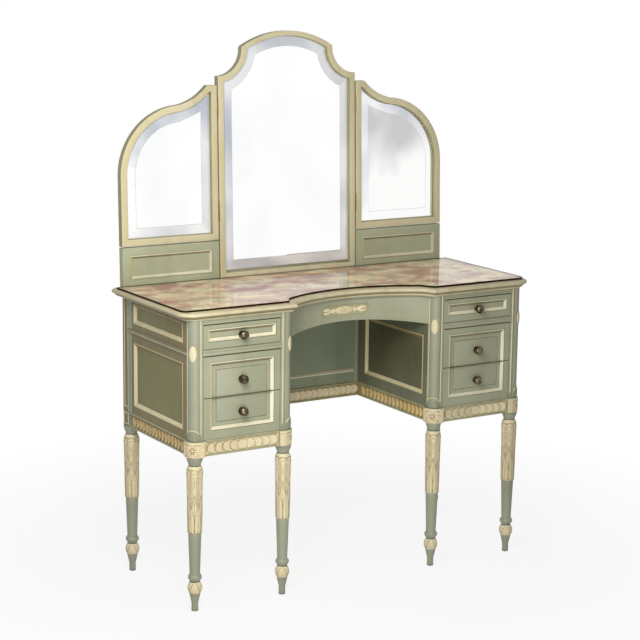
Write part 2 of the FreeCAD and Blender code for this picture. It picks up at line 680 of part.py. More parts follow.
def top():
    """Wooden top with a moulded nose, the cloth laid on it, and the glass over the cloth."""
    nose = slab("top_nose", "XY_Plane", [top_path("0", "0", "top_back_y", "rear_clip")],
                "board_top - nose_thick", "board_top")
    under = slab("top_core", "XY_Plane", [top_path("cove_inset", "cove_inset", "top_back_y", "rear_clip")],
                 "case_top", "board_top - nose_thick")
    doc.recompute()
    rounded = doc.addObject("Part::Fillet", "top_nose_rounded")
    rounded.Base = nose
    size = min(value("nose_round"), value("nose_thick") * 0.45)
    rounded.Edges = [(number, size, size) for number in rim_edges(nose.Shape)]
    keep(joined("top_board_parts", [rounded, under]), "top_board")
    edge = "mirror_y - glass_gap"
    cloth = slab("top_cloth_sheet", "XY_Plane", [top_path("glass_inset_side", "glass_inset_front", edge)],
                 "board_top", "board_top + cloth_thick")
    keep(cloth, "top_cloth")
    glass = slab("glass_sheet", "XY_Plane", [top_path("glass_inset_side", "glass_inset_front", edge)],
                 "board_top + cloth_thick", "table_height")
    keep(glass, "glass_top")


def rim_edges(shape):
    """Numbers of the level edges of a slab, apart from those along its back."""
    back = shape.BoundBox.YMax
    boxes = [edge.BoundBox for edge in shape.Edges]
    return [number for number, box in enumerate(boxes, start=1)
            if box.ZLength < NEAR and back - box.YMin > NEAR]


def apron_ring(name, inner, outer, low, high):
    """A slice of the hollow bay's curve, between two radii about its centre."""
    ends = ["(bay_centre + sqrt((%s) ^ 2 - knee_x ^ 2))" % size for size in (inner, outer)]
    path = [("-knee_x", ends[0]), ("knee_x", ends[0], radius(inner, IN)), ("knee_x", ends[1]),
            ("-knee_x", ends[1], radius(outer, OUT))]
    return slab(name, "XY_Plane", [path], low, high)


def apron():
    """Hollow apron under the bay, arched below, with a sunken cartouche and its ornament."""
    blank = apron_ring("apron_blank", "apron_radius", "apron_radius + apron_thick", "arch_end", "case_top")
    front, rear = "nose_y", "rear_y"
    arch = slab("apron_arch", "XZ_Plane",
                [[("-knee_x", "arch_end"), ("knee_x", "arch_end"),
                  ("-knee_x", "arch_end", swell("arch_middle - arch_end", OUT))][1:]], front, rear)
    board_cut = cut("apron_arched", blank, arch)
    depth = "apron_radius + cartouche_depth"
    skin = apron_ring("cartouche_skin", "apron_radius - ornament_rise", depth, "arch_middle", "case_top")
    print_area = slab("cartouche_area", "XZ_Plane", [long_round("cartouche_half", "cartouche_radius")],
                      front, rear)
    keep(cut("apron_sunk", board_cut, shared("cartouche_space", skin, print_area)), "apron")
    raised = apron_ring("ornament_skin", "apron_radius + cartouche_depth - ornament_rise",
                        depth + " - ornament_seat",
                        "arch_middle", "case_top")
    bud_x = "ornament_oval_half + 2 * ornament_collar_half + ornament_bud_half"
    collar_x = "ornament_oval_half + ornament_collar_half"
    shapes = [ellipse_like("ornament_oval", "0", "ornament_oval_half + ornament_collar_half",
                           "ornament_oval_radius", front, rear)]
    for side, sign in (("left", "-1 * "), ("right", "")):
        shapes.append(ellipse_like("ornament_bud_" + side, sign + "(" + bud_x + ")",
                                   "ornament_bud_half + ornament_collar_half", "ornament_bud_radius",
                                   front, rear))
        low_x = "%s(%s) - ornament_collar_half" % (sign, collar_x)
        high_x = "%s(%s) + ornament_collar_half" % (sign, collar_x)
        shapes.append(board("ornament_collar_" + side, (low_x, front, "cartouche_z - ornament_collar_radius"),
                            (high_x, rear, "cartouche_z + ornament_collar_radius")))
    keep(shared("ornament", raised, joined("ornament_shapes", shapes)), "apron_ornament")


def long_round(half, size):
    """The cartouche's outline: straight sides and bowed ends."""
    inset = "(%s - %s)" % (half, size)
    return [("-" + inset, "cartouche_z - " + size), (inset, "cartouche_z - " + size),
            (inset, "cartouche_z + " + size, radius(size + " + joint_clearance", OUT)),
            ("-" + inset, "cartouche_z + " + size),
            ("-" + inset, "cartouche_z - " + size, radius(size + " + joint_clearance", OUT))][1:]


def ellipse_like(name, middle, half, size, front, rear):
    """A pointed oval prism about a point of the cartouche's middle line."""
    path = [("%s + %s" % (middle, half), "cartouche_z", swell(size, OUT)),
            ("%s - (%s)" % (middle, half), "cartouche_z", swell(size, OUT))]
    return slab(name, "XZ_Plane", [path], front, rear)


def centre_path(inset, arch_inset, low):
    """Front outline of the middle mirror: shoulders, hollow necks and a round arch."""
    half = "(centre_half - (%s))" % inset
    size = "(neck_radius + (%s))" % inset
    shoulder_z = "(neck_z - sqrt(%s ^ 2 - (%s) ^ 2))" % (size, inset)
    neck_x = "(centre_half - %s * neck_turn_share)" % size
    neck_low = "(neck_z - %s * sqrt(1 - neck_turn_share ^ 2))" % size
    arch_size = "(arch_radius - (%s))" % arch_inset
    corner_x = "(centre_half - %s)" % size
    corner_z = "(arch_z + sqrt(%s ^ 2 - %s ^ 2))" % (arch_size, corner_x)
    return [
        ("-" + half, low),
        (half, low),
        (half, shoulder_z),
        (neck_x, neck_low, radius(size, IN)),
        (corner_x, corner_z),
        ("-" + corner_x, corner_z, radius(arch_size, OUT)),
        ("-" + neck_x, neck_low),
        ("-" + half, shoulder_z, radius(size, IN)),
    ]


def wing_path(inset, low):
    """Front outline of the right-hand wing: a flat by the hinge, a hollow, then a round brow."""
    brow_size = "(brow_radius - (%s))" % inset
    centre_x = "(wing_half - brow_radius)"
    share_x = "((brow_x - %s) / brow_radius)" % centre_x
    join_x = "(%s + %s * %s)" % (centre_x, brow_size, share_x)
    join_z = "(brow_height + %s * sqrt(1 - %s ^ 2))" % (brow_size, share_x)
    return [
        ("wing_in + (%s)" % inset, low),
        ("wing_half - (%s)" % inset, low),
        ("wing_half - (%s)" % inset, "brow_height"),
        (join_x, join_z, radius(brow_size, OUT)),
        ("wing_in + wing_flat - flat_shift_share * (%s)" % inset, "wing_top - (%s)" % inset,
         radius("scroll_radius + (%s)" % inset, IN)),
        ("wing_in + (%s)" % inset, "wing_top - (%s)" % inset),
    ]


def framed_mirror(name, outline, low, sight_low, face, arch_face):
    """A mirror frame with its rebate, the glass and the backboard."""
    def path(inset, arch_inset, bottom):
        return outline(inset, arch_inset, bottom) if outline is centre_path else outline(inset, bottom)
    front = slab(name + "_front", "XZ_Plane", [path("0", "0", low), path(face, arch_face, sight_low)],
                 "0", "sight_depth")
    seat, arch_seat = face + " - rebate", arch_face + " - rebate"
    seat_low = sight_low + " - rebate"
    back = slab(name + "_rim", "XZ_Plane", [path("0", "0", low), path(seat, arch_seat, seat_low)],
                "sight_depth", "frame_depth")
    play = " + glass_play"
    plate = path(seat + play, arch_seat + play, seat_low + play)
    glass = slab(name + "_glass", "XZ_Plane", [plate], "sight_depth", "sight_depth + mirror_thick")
    cover = slab(name + "_cover", "XZ_Plane", [plate], "sight_depth + mirror_thick",
                 "sight_depth + mirror_thick + backboard_thick")
    return lean(joined(name + "_wood", [front, back])), lean(glass), lean(cover)


def mirrors():
    """The fixed middle mirror, the two wings and the plinth panels under the wings."""
    frame, glass, cover = framed_mirror("centre", centre_path, "-foot_drop", "frame_face", "frame_face",
                                        "arch_face")
    keep(frame, "centre_frame")
    keep(glass, "centre_mirror")
    keep(cover, "centre_backboard")
    parts = framed_mirror("wing", wing_path, "wing_low", "wing_low + wing_face", "wing_face", "wing_face")
    for part, label in zip(parts, ("frame", "mirror", "backboard")):
        keep(part, "wing_%s_right" % label)
        keep(mirrored("wing_%s_twin" % label, part), "wing_%s_left" % label)
    block = slab("plinth_block", "XZ_Plane",
                 [rectangle("wing_in", "-foot_drop", "wing_half", "plinth_height")], "0", "frame_depth")
    bead = slab("plinth_bead", "XZ_Plane",
                ring("wing_in + plinth_margin", "plinth_margin", "wing_half - plinth_margin",
                     "plinth_height - plinth_margin", "plinth_mould"),
                "-plinth_mould_rise", "plinth_mould_rise")
    keep(pair("plinth_panels", lean(joined("plinth_dressed", [block, bead]))), "plinth_panels")


def hinge_leaf(name, low, fixed):
    """One leaf of a slender butt hinge with its knuckles about the pin."""
    size = "knuckle_radius"
    pin_y = "-pin_ahead"
    third = "(hinge_length / 3)"
    if fixed:
        near, far = "centre_half", "centre_half + leaf_thick"
        spans = [("0", "%s - knuckle_play" % third), ("2 * %s + knuckle_play" % third, "hinge_length")]
    else:
        near, far = "wing_in - leaf_thick", "wing_in"
        spans = [(third, "2 * %s" % third)]
    plate = board(name + "_plate", (near, size + " + knuckle_play", low),
                  (far, "leaf_width", "%s + hinge_length" % low))
    parts = [plate]
    for number, (start, end) in enumerate(spans):
        label = "%s_%d" % (name, number)
        base, tip = "%s + %s" % (low, start), "%s + %s" % (low, end)
        eye = rod(label + "_eye", size, "(%s) - (%s)" % (tip, base), ("pin_x", pin_y, base))
        web = board(label + "_web", (near, pin_y, base), (far, size + " + 2 * knuckle_play", tip))
        parts += [eye, web]
    leaf = joined(name + "_whole", parts)
    if fixed:
        pin = rod(name + "_pin", "pin_radius", "hinge_length", ("pin_x", pin_y, low))
        return joined(name + "_pinned", [leaf, pin])
    bore = rod(name + "_bore", "pin_radius + pin_play", "hinge_length", ("pin_x", pin_y, low))
    return cut(name + "_bored", leaf, bore)


def hinges():
    """Two hinges on each wing; the fixed leaves carry the pins."""
    fixed = [hinge_leaf("fixed_leaf_" + spot, low, True)
             for spot, low in (("low", "hinge_low"), ("high", "hinge_high"))]
    moving = [hinge_leaf("wing_leaf_" + spot, low, False)
              for spot, low in (("low", "hinge_low"), ("high", "hinge_high"))]
    keep(pair("fixed_hinge_leaves", lean(group("fixed_leaves", fixed))), "fixed_hinge_leaves")
    right = lean(group("wing_leaves", moving))
    keep(right, "wing_hinge_leaves_right")
    keep(mirrored("wing_leaves_twin", right), "wing_hinge_leaves_left")


def batten_screw(name, at, length):
    """A screw with a flat round head at the back; its shank runs forwards."""
    head = rod(name + "_head", "screw_head_radius", "screw_head_thick", at, "y")
    tip = (at[0], "%s - (%s)" % (at[1], length), at[2])
    return joined(name, [head, rod(name + "_shank", "screw_radius", length, tip, "y")])


def battens():
    """Two upright battens, notched round the top, that tie the middle mirror to the case."""
    seat_y = "(mirror_y + frame_depth * lean_cos)"
    seat_z = "(table_height - frame_depth * lean_sin)"
    seat_top = seat_z + " + batten_height * lean_cos"
    foot = "(case_top - batten_foot)"
    rear = seat_y + " + batten_thick * lean_cos"
    outline = [
        ("back_y", foot),
        (rear, foot),
        (rear, seat_z),
        (rear + " + batten_height * lean_sin", seat_top + " - batten_thick * lean_sin"),
        (seat_y + " + batten_height * lean_sin", seat_top),
        (seat_y, seat_z),
        ("top_back_y", "board_top"),
        ("top_back_y", "case_top"),
        ("back_y", "case_top"),
    ]
    half = "batten_width / 2"
    batten = slab("batten", "YZ_Plane", [outline], "batten_x - " + half, "batten_x + " + half)
    keep(pair("mirror_battens", batten), "mirror_battens")
    case_length = "%s - back_y + screw_bite" % rear
    low_screws = [batten_screw("case_screw_" + spot, ("batten_x", rear, height), case_length)
                  for spot, height in (("low", foot + " + screw_drop"), ("high", "case_top - screw_drop"))]
    back = "frame_depth + batten_thick"
    high_screws = [batten_screw("mirror_screw_" + spot, ("centre_half - frame_face / 2", back, height),
                                "batten_thick + screw_bite")
                   for spot, height in (("low", "screw_low"), ("high", "screw_high"))]
    screws = group("batten_screw_set", low_screws + [lean(group("mirror_screws", high_screws))])
    keep(pair("batten_screws", screws), "batten_screws")


def write_parts():
    """Check every object and write each sub-part."""
    doc.recompute()
    for item in doc.Objects:
        if "Invalid" in item.State or "Error" in item.State:
            raise RuntimeError("%s failed: %s" % (item.Name, item.State))
    os.makedirs("parts", exist_ok=True)
    for item in kept:
        if item.Shape.isNull() or not item.Shape.isValid() or not item.Shape.Solids:
            raise RuntimeError("%s has no sound solid" % item.Label)
        item.Shape.exportStep("parts/%s.step" % item.Label)
    print("%d sub-parts, %d solids" % (len(kept), sum(len(item.Shape.Solids) for item in kept)))


fill_sheet()
legs()
posts()
case_sides()
case_backs()
carved_bands()
inner_woodwork()
drawers()
top()
apron()
mirrors()
hinges()
battens()
write_parts()
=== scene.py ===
import logging
from dataclasses import dataclass
from enum import Enum
from math import asin, atan2, cos, exp, hypot, pi, radians, sin, sqrt, tau
from typing import Callable, Sequence

import bmesh
import bpy
from bpy.types import Material, Mesh, Node, NodeSocket, NodeTree, Object
from mathutils import Matrix, Vector


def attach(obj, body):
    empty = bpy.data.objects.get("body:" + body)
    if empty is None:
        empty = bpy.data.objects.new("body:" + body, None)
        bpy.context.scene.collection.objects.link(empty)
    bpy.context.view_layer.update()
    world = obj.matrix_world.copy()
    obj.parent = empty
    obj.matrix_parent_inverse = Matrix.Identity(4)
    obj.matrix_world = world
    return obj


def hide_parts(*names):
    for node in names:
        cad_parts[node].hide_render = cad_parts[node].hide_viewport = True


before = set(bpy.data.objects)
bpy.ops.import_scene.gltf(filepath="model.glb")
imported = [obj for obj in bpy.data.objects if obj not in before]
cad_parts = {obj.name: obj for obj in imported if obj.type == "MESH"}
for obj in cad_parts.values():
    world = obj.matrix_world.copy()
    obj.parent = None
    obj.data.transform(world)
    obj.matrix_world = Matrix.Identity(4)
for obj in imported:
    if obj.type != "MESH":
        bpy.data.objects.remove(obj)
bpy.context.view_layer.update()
log = logging.getLogger("dressing_table")

Pair = tuple[float, float]
Triple = tuple[float, float, float]
Step = tuple[float, float, float, float, Sequence[int]]
Carve = Callable[[float, float], Pair]
MM = 0.001
SEAM = 2e-6
SPECK = 1e-6


@dataclass(frozen=True)
class Sizes:
    """Sizes of the table in millimetres, as the construction has them."""
    face_y: float = -206.269
    axis_y: float = -193.269
    rear_axis_y: float = 160.731
    nose_y: float = -221.269
    back_y: float = 180.731
    knee_back_y: float = 162.731
    top_back_y: float = 192.731
    mirror_y: float = 171.231
    side_x: float = 493.5
    knee_x: float = 217.0
    leg_outer: float = 480.5
    leg_inner: float = 230.0
    bay_in: float = 247.0
    bay_out: float = 463.5
    bay_mid: float = 355.25
    post_half: float = 17.0
    leg_top: float = 396.0
    band_top: float = 436.0
    case_top: float = 742.0
    board_top: float = 756.0
    table: float = 762.0
    lean: float = atan2(21.1, 643.5)
    bay_centre: float = -481.59
    bay_radius: float = 350.321
    apron_radius: float = 372.321
    cartouche_z: float = 703.0

    @property
    def post_back(self) -> float:
        """Where the side frames start, behind the front posts."""
        return self.axis_y + self.post_half

    @property
    def rear_front(self) -> float:
        """Where the side frames end, ahead of the rear posts."""
        return self.rear_axis_y - self.post_half


S = Sizes()


@dataclass(frozen=True)
class Plane:
    """A flat face that pieces are laid out on: across, up, and out of the face towards the viewer."""
    origin: Vector
    across: Vector
    up: Vector = Vector((0, 0, 1))

    @property
    def out(self) -> Vector:
        """Direction that the face looks in."""
        return self.across.cross(self.up)

    def at(self, x: float, z: float, rise: float = 0.0) -> Vector:
        """Place of a point in the room.

        Args:
            x: Distance across.
            z: Distance up.
            rise: Height over the face.

        Returns:
            The point, in millimetres.
        """
        return self.origin + self.across * x + self.up * z + self.out * rise


X, Y = Vector((1, 0, 0)), Vector((0, 1, 0))
FRONT = Plane(Vector((0, S.face_y, 0)), X)
RIGHT_SIDE = Plane(Vector((S.side_x, 0, 0)), Y)
KNEE = Plane(Vector((S.knee_x, 0, 0)), -Y)
KNEE_BACK = Plane(Vector((0, S.knee_back_y, 0)), X)
REAR_RAIL = Plane(Vector((0, S.rear_axis_y, 0)), X)
MIRROR = Plane(Vector((0, S.mirror_y, S.table)), X, Vector((0, sin(S.lean), cos(S.lean))))


class Side(Enum):
    """Which half of the table a piece is in; the value is the sign of its place across."""
    LEFT = -1
    RIGHT = 1

    @property
    def word(self) -> str:
        """The half's name in lower case."""
        return self.name.lower()


def linked(name: str, data: bpy.types.ID | None) -> Object:
    """New object in the scene."""
    thing = bpy.data.objects.new(name, data)
    bpy.context.collection.objects.link(thing)
    return thing


def finished(mesh: Mesh, work: bmesh.types.BMesh, finishes: Sequence[Material],
             sharp: float) -> Object:
    """Turn a mesh's faces outwards, give it its finishes and shading, and make its object.

    Args:
        mesh: Mesh that takes the result; the object has its name.
        work: The faces; it is used up.
        finishes: Materials, by finish number.
        sharp: Angle in degrees past which an edge stays sharp.

    Returns:
        The object.
    """
    bmesh.ops.recalc_face_normals(work, faces=work.faces)
    work.to_mesh(mesh)
    work.free()
    for finish in finishes:
        mesh.materials.append(finish)
    mesh.shade_smooth()
    mesh.set_sharp_from_angle(angle=radians(sharp))
    return linked(mesh.name, mesh)


class Form:
    """A mesh in the making, in millimetres, with a depth-of-carving value at each point."""

    def __init__(self) -> None:
        """Start empty."""
        self.points: list[Vector] = []
        self.carved: list[float] = []
        self.faces: list[tuple[int, ...]] = []
        self.slots: list[int] = []

    def add(self, point: Vector, carved: float = 0.0) -> int:
        """Add a point and give its number."""
        self.points.append(Vector(point))
        self.carved.append(carved)
        return len(self.points) - 1

    def face(self, corners: Sequence[int], slot: int = 0) -> None:
        """Add a face of one finish."""
        self.faces.append(tuple(corners))
        self.slots.append(slot)

    def net(self, rows: Sequence[Sequence[Vector]], around: bool = False, over: bool = False,
            carved: Sequence[Sequence[float]] | None = None,
            slots: Callable[[int, int], int] = lambda row, column: 0) -> list[list[int]]:
        """Join rows of points with four-sided faces.

        Args:
            rows: Rows of points, all of one length.
            around: Whether each row closes on itself.
            over: Whether the last row joins the first.
            carved: Depth of carving at each point.
            slots: Finish number for the face that starts at a row and column.

        Returns:
            The numbers of the points.
        """
        numbers = [[self.add(point, carved[i][j] if carved else 0.0) for j, point in enumerate(row)]
                   for i, row in enumerate(rows)]
        width = len(rows[0])
        for i in range(len(rows) if over else len(rows) - 1):
            low, high = numbers[i], numbers[(i + 1) % len(rows)]
            for j in range(width if around else width - 1):
                k = (j + 1) % width
                self.face((low[j], low[k], high[k], high[j]), slots(i, j))
        return numbers

    def caps(self, numbers: Sequence[Sequence[int]], first: int = 0, last: int = 0) -> None:
        """Close the first and last of a stack of closed rows, each with its finish number."""
        self.face(numbers[-1], last)
        self.face(list(reversed(numbers[0])), first)

    def ends(self, numbers: Sequence[Sequence[int]], slot: int = 0) -> None:
        """Close the two ends of a strip whose rows run along it."""
        self.face([row[0] for row in numbers], slot)
        self.face([row[-1] for row in reversed(numbers)], slot)

    def piece(self, name: str, finishes: Sequence["Finish"], sharp: float = 32.0,
              moves: Sequence[Matrix] | None = None) -> Object:
        """Make the Blender object.

        Args:
            name: Name of the piece.
            finishes: Its finishes, by finish number.
            sharp: Angle in degrees past which an edge stays sharp.
            moves: Places, in millimetres, to repeat the form at; one plain copy if not given.

        Returns:
            The object, at the origin, in metres.
        """
        places = moves or [Matrix.Identity(4)]
        points: list[Vector] = []
        faces: list[tuple[int, ...]] = []
        for move in places:
            start = len(points)
            points += [(move @ point) * MM for point in self.points]
            faces += [tuple(start + c for c in corners) for corners in self.faces]
        mesh = bpy.data.meshes.new(name)
        mesh.from_pydata(points, [], faces)
        mesh.attributes.new("carved", "FLOAT", "POINT").data.foreach_set("value", self.carved * len(places))
        mesh.polygons.foreach_set("material_index", self.slots * len(places))
        work = bmesh.new()
        work.from_mesh(mesh)
        bmesh.ops.remove_doubles(work, verts=work.verts, dist=SEAM)
        bmesh.ops.dissolve_degenerate(work, edges=work.edges, dist=SPECK)
        return finished(mesh, work, [finish.material() for finish in finishes], sharp)


def offset(path: Sequence[Pair], inset: float, closed: bool = True) -> list[Pair]:
    """Move a counter-clockwise line inwards with mitred corners.

    Args:
        path: Corners of the line.
        inset: Distance to move it to its left.
        closed: Whether the line closes.

    Returns:
        As many corners as were given.
    """
    count, sharpest = len(path), 0.3
    moved = []
    for i, (x, z) in enumerate(path):
        before = path[i - 1] if closed or i else None
        after = path[(i + 1) % count] if closed or i < count - 1 else None
        sides = []
        for start, end in ((before, (x, z)), ((x, z), after)):
            if start is None or end is None:
                continue
            dx, dz = end[0] - start[0], end[1] - start[1]
            length = hypot(dx, dz)
            if length > SPECK:
                sides.append((-dz / length, dx / length))
        nx, nz = sum(s[0] for s in sides), sum(s[1] for s in sides)
        scale = inset * len(sides) / max(nx * nx + nz * nz, sharpest)
        moved.append((x + nx * scale, z + nz * scale))
    return moved


def rectangle(left: float, low: float, right: float, high: float) -> list[Pair]:
    """Corners of a rectangle, counter-clockwise."""
    return [(left, low), (right, low), (right, high), (left, high)]


def arc(start: Pair, end: Pair, radius: float, bulge: int, steps: int) -> list[Pair]:
    """Points of an arc after its start, up to its end.

    Args:
        start: First point.
        end: Last point.
        radius: Radius of the arc.
        bulge: 1 for an arc that bows to the right of its way, -1 for a hollow one.
        steps: Number of points.

    Returns:
        The points.
    """
    begin, finish = Vector(start), Vector(end)
    half = (finish - begin) / 2
    normal = Vector((-half.y, half.x)).normalized()
    centre = begin + half + normal * bulge * sqrt(max(radius ** 2 - half.length ** 2, 0.0))
    first = atan2(begin.y - centre.y, begin.x - centre.x)
    turn = 2 * asin(min(half.length / radius, 1.0)) * bulge
    return [(centre.x + radius * cos(first + turn * i / steps),
             centre.y + radius * sin(first + turn * i / steps)) for i in range(1, steps + 1)]


def line(start: Pair, end: Pair, steps: int) -> list[Pair]:
    """Evenly spaced points after the start, up to the end."""
    return [(start[0] + (end[0] - start[0]) * i / steps, start[1] + (end[1] - start[1]) * i / steps)
            for i in range(1, steps + 1)]


def trace(start: Pair, legs: Sequence[tuple]) -> list[Pair]:
    """Line made of straight and round legs.

    Args:
        start: First point.
        legs: End and number of points of each leg, and for a round one its radius and bulge.

    Returns:
        The points, with the start.
    """
    path = [start]
    for end, steps, *bow in legs:
        path += arc(path[-1], end, *bow, steps) if bow else line(path[-1], end, steps)
    return path


def shares(count: int, first: int = 0) -> list[float]:
    """Even shares of a whole, up to 1."""
    return [i / count for i in range(first, count + 1)]


def turns(count: int) -> list[float]:
    """Angles that divide a full turn evenly."""
    return [tau * i / count for i in range(count)]


def level(plan: Sequence[Pair], z: float) -> list[Vector]:
    """Points of a plan at one height."""
    return [Vector((x, y, z)) for x, y in plan]


def moulding(form: Form, plane: Plane, path: Sequence[Pair], profile: Sequence[Pair], closed: bool = True,
             slot: int = 0, slots: Sequence[int] | None = None, sides: Sequence[int] = ()) -> None:
    """Sweep a closed profile along a line on a face.

    Args:
        form: Form that takes the strip.
        plane: The face.
        path: Line on the face, counter-clockwise.
        profile: Closed outline of the strip as (distance to the left of the line, rise).
        closed: Whether the line closes.
        slot: Finish number.
        slots: Finish number of each side of the profile, where they differ; -1 for one that goes by the line.
        sides: Finish number of each side of the line.
    """
    rows = [[plane.at(x, z, rise) for x, z in offset(path, inset, closed)] for inset, rise in profile]
    chosen = slots or [slot] * len(profile)
    numbers = form.net(rows, around=closed, over=True,
                       slots=lambda i, j: sides[j] if chosen[i] < 0 else chosen[i])
    if not closed:
        form.ends(numbers, slot)


def lathe(form: Form, profile: Sequence[Pair], steps: int) -> None:
    """Turn a profile of (radius, height) about the upright axis; an end off the axis gets a flat face."""
    numbers = form.net([[Vector((radius * cos(a), radius * sin(a), height)) for a in turns(steps)]
                        for radius, height in profile], around=True)
    for (radius, _), row in ((profile[0], numbers[0][::-1]), (profile[-1], numbers[-1])):
        if radius > SPECK:
            form.face(row)


# Finish numbers of a trim: the ground paint, cream, the shadow line paint, and the tan and umber paints. Rings of
# the shadow line paint are painted shadow lines, in the gaps round a front, at the foot of a slope and round a
# raised panel.
GROUND, LIT, SHADOW_LINE, SHADED_SIDE, SHADED_HEAD = range(5)
PLAIN, SHADOWED = (GROUND,) * 4, (SHADOW_LINE,) * 4
# On a ridge one side, and on a slope the head and one side, take the tan and umber paints as painted shade; the
# other sides stay cream.
RIDGE, SLOPE = (LIT, LIT, LIT, SHADED_SIDE), (LIT, LIT, SHADED_HEAD, SHADED_SIDE)


def fielded(form: Form, plane: Plane, box: tuple[float, float, float, float],
            steps: Sequence[Step]) -> None:
    """Add a block whose front steps in towards its middle.

    Args:
        form: Form that takes it.
        plane: The face that it stands on.
        box: Left, foot, right and head of the block.
        steps: Inset at the sides, at the foot and at the head, rise, and finish numbers of the ring after it at
            the foot, right, head and left.
    """
    left, low, right, high = box
    rows = [[plane.at(x, z, rise) for x, z in rectangle(left + side, low + foot, right - side, high - head)]
            for side, foot, head, rise, _ in steps]
    numbers = form.net(rows, around=True, slots=lambda i, j: steps[i][4][j])
    form.caps(numbers)


def smooth(value: float, low: float, high: float) -> float:
    """Ease from 0 to 1 between two limits."""
    t = min(max((value - low) / (high - low), 0.0), 1.0)
    return t * t * (3 - 2 * t)


def ride(thing: Object, slot: str, *nodes: str, body: str = "case") -> Object:
    """Hide the nodes that a piece stands for, and fix the piece to a body."""
    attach(thing, body)
    if nodes:
        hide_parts(*nodes)
    log.info("%s rides on %s", thing.name, body)
    return thing


class Tree:
    """A node tree in the making."""

    def __init__(self, tree: NodeTree) -> None:
        """Work on a tree."""
        self.tree = tree

    def add(self, kind: str, inputs: dict | None = None, **settings: object) -> Node:
        """Add a node.

        Args:
            kind: Type of the node.
            inputs: Values or sockets, by input name or number.
            settings: Properties of the node.

        Returns:
            The node.
        """
        node = self.tree.nodes.new(kind)
        for name, setting in settings.items():
            setattr(node, name, setting)
        for name, given in (inputs or {}).items():
            if isinstance(given, NodeSocket):
                self.tree.links.new(given, node.inputs[name])
            else:
                node.inputs[name].default_value = given
        return node

    def maths(self, operation: str, first: object, second: object = 0.0,
              clamp: bool = False) -> NodeSocket:
        """Number worked out from two others."""
        return self.add("ShaderNodeMath", {0: first, 1: second}, operation=operation, use_clamp=clamp).outputs[0]

    def mix(self, share: object, first: object, second: object) -> NodeSocket:
        """Colour between two others."""
        return self.add("ShaderNodeMix", {0: share, 6: first, 7: second}, data_type="RGBA").outputs[2]

    def spread(self, given: object, low: float, high: float, to_low: float = 0.0,
               to_high: float = 1.0) -> NodeSocket:
        """Number moved from one range to another, held inside it."""
        return self.add("ShaderNodeMapRange", {0: given, 1: low, 2: high, 3: to_low, 4: to_high}).outputs[0]

    def place(self) -> NodeSocket:
        """Place in the object's own space."""
        return self.add("ShaderNodeTexCoord").outputs["Object"]

    def carving(self) -> NodeSocket:
        """Depth of carving."""
        return self.add("ShaderNodeAttribute", attribute_name="carved").outputs["Fac"]

    def seen(self) -> NodeSocket:
        """1 for a ray that the eye sees straight, by gloss or through glass, and 0 for light on a surface."""
        rays = self.add("ShaderNodeLightPath").outputs
        bent = self.maths("MAXIMUM", rays["Is Glossy Ray"], rays["Is Transmission Ray"])
        return self.maths("MAXIMUM", rays["Is Camera Ray"], bent)

    def noise(self, scale: float, detail: float = 3.0, stretch: Triple = (1, 1, 1),
              place: object = None) -> NodeSocket:
        """Cloudy noise fixed to the object."""
        mapped = self.add("ShaderNodeMapping", {"Vector": place or self.place(), "Scale": stretch}).outputs[0]
        return self.add("ShaderNodeTexNoise", {"Vector": mapped, "Scale": scale, "Detail": detail}).outputs[0]


def tone(*screen: float) -> tuple[float, ...]:
    """Red, green and blue as seen on a screen, 0 to 255, as linear light and an alpha of 1."""
    shares = [c / 255 for c in screen]
    return (*[c / 12.92 if c <= 0.04045 else ((c + 0.055) / 1.055) ** 2.4 for c in shares], 1.0)


NUMBER, VECTOR, COLOUR = "NodeSocketFloat", "NodeSocketVector", "NodeSocketColor"


def shader_group(name: str, inputs: dict[str, float | tuple[float, ...]],
                 build: Callable[[Tree, Node], dict[str, object]]) -> NodeTree:
    """Make a shader node group.

    Args:
        name: Name of the group.
        inputs: Default of each input: a number, three for a vector or four for a colour.
        build: Fills the group and gives its outputs: Color, and Roughness and Height where it has them.

    Returns:
        The group.
    """
    group = bpy.data.node_groups.new(name, "ShaderNodeTree")
    for label, default in inputs.items():
        kind = NUMBER if isinstance(default, float) else VECTOR if len(default) == 3 else COLOUR
        group.interface.new_socket(name=label, in_out="INPUT", socket_type=kind).default_value = default
    tree = Tree(group)
    results = build(tree, tree.add("NodeGroupInput"))
    for label in results:
        kind = COLOUR if label == "Color" else NUMBER
        group.interface.new_socket(name=label, in_out="OUTPUT", socket_type=kind)
    tree.add("NodeGroupOutput", dict(results))
    return group


def old_paint(tree: Tree, source: Node) -> dict[str, object]:
    """Old brushed paint, cloudy and rubbed, with dirt in the carving."""
    get = source.outputs
    cloud = tree.spread(tree.noise(7.0, 5.0), 0.38, 0.66)
    fine = tree.noise(150.0, 4.0)
    streak = tree.spread(tree.noise(30.0, 4.0, (1, 1, 0.1)), 0.5, 0.75)
    fleck = tree.spread(tree.noise(420.0, 2.0), 0.70, 0.76)
    colour = tree.mix(tree.maths("MULTIPLY", cloud, get["Clouding"]), get["Coat"], get["Worn"])
    colour = tree.mix(tree.maths("MULTIPLY", streak, get["Streaks"]), colour, get["Grime"])
    spotted = tree.maths("ADD", tree.carving(), tree.maths("MULTIPLY", tree.maths("SUBTRACT", fine, 0.5), 0.9))
    hollow = tree.spread(spotted, 0.25, 1.0)
    colour = tree.mix(tree.maths("MULTIPLY", hollow, get["Carving"]), colour, get["Grime"])
    colour = tree.mix(tree.maths("MULTIPLY", fleck, get["Flecks"]), colour, get["Grime"])
    rough = tree.maths("ADD", get["Roughness"], tree.spread(fine, 0.3, 0.7, -0.06, 0.08))
    height = tree.maths("ADD", tree.maths("MULTIPLY", fine, 0.5), tree.maths("MULTIPLY", streak, 0.5))
    return {"Color": colour, "Roughness": rough, "Height": height}


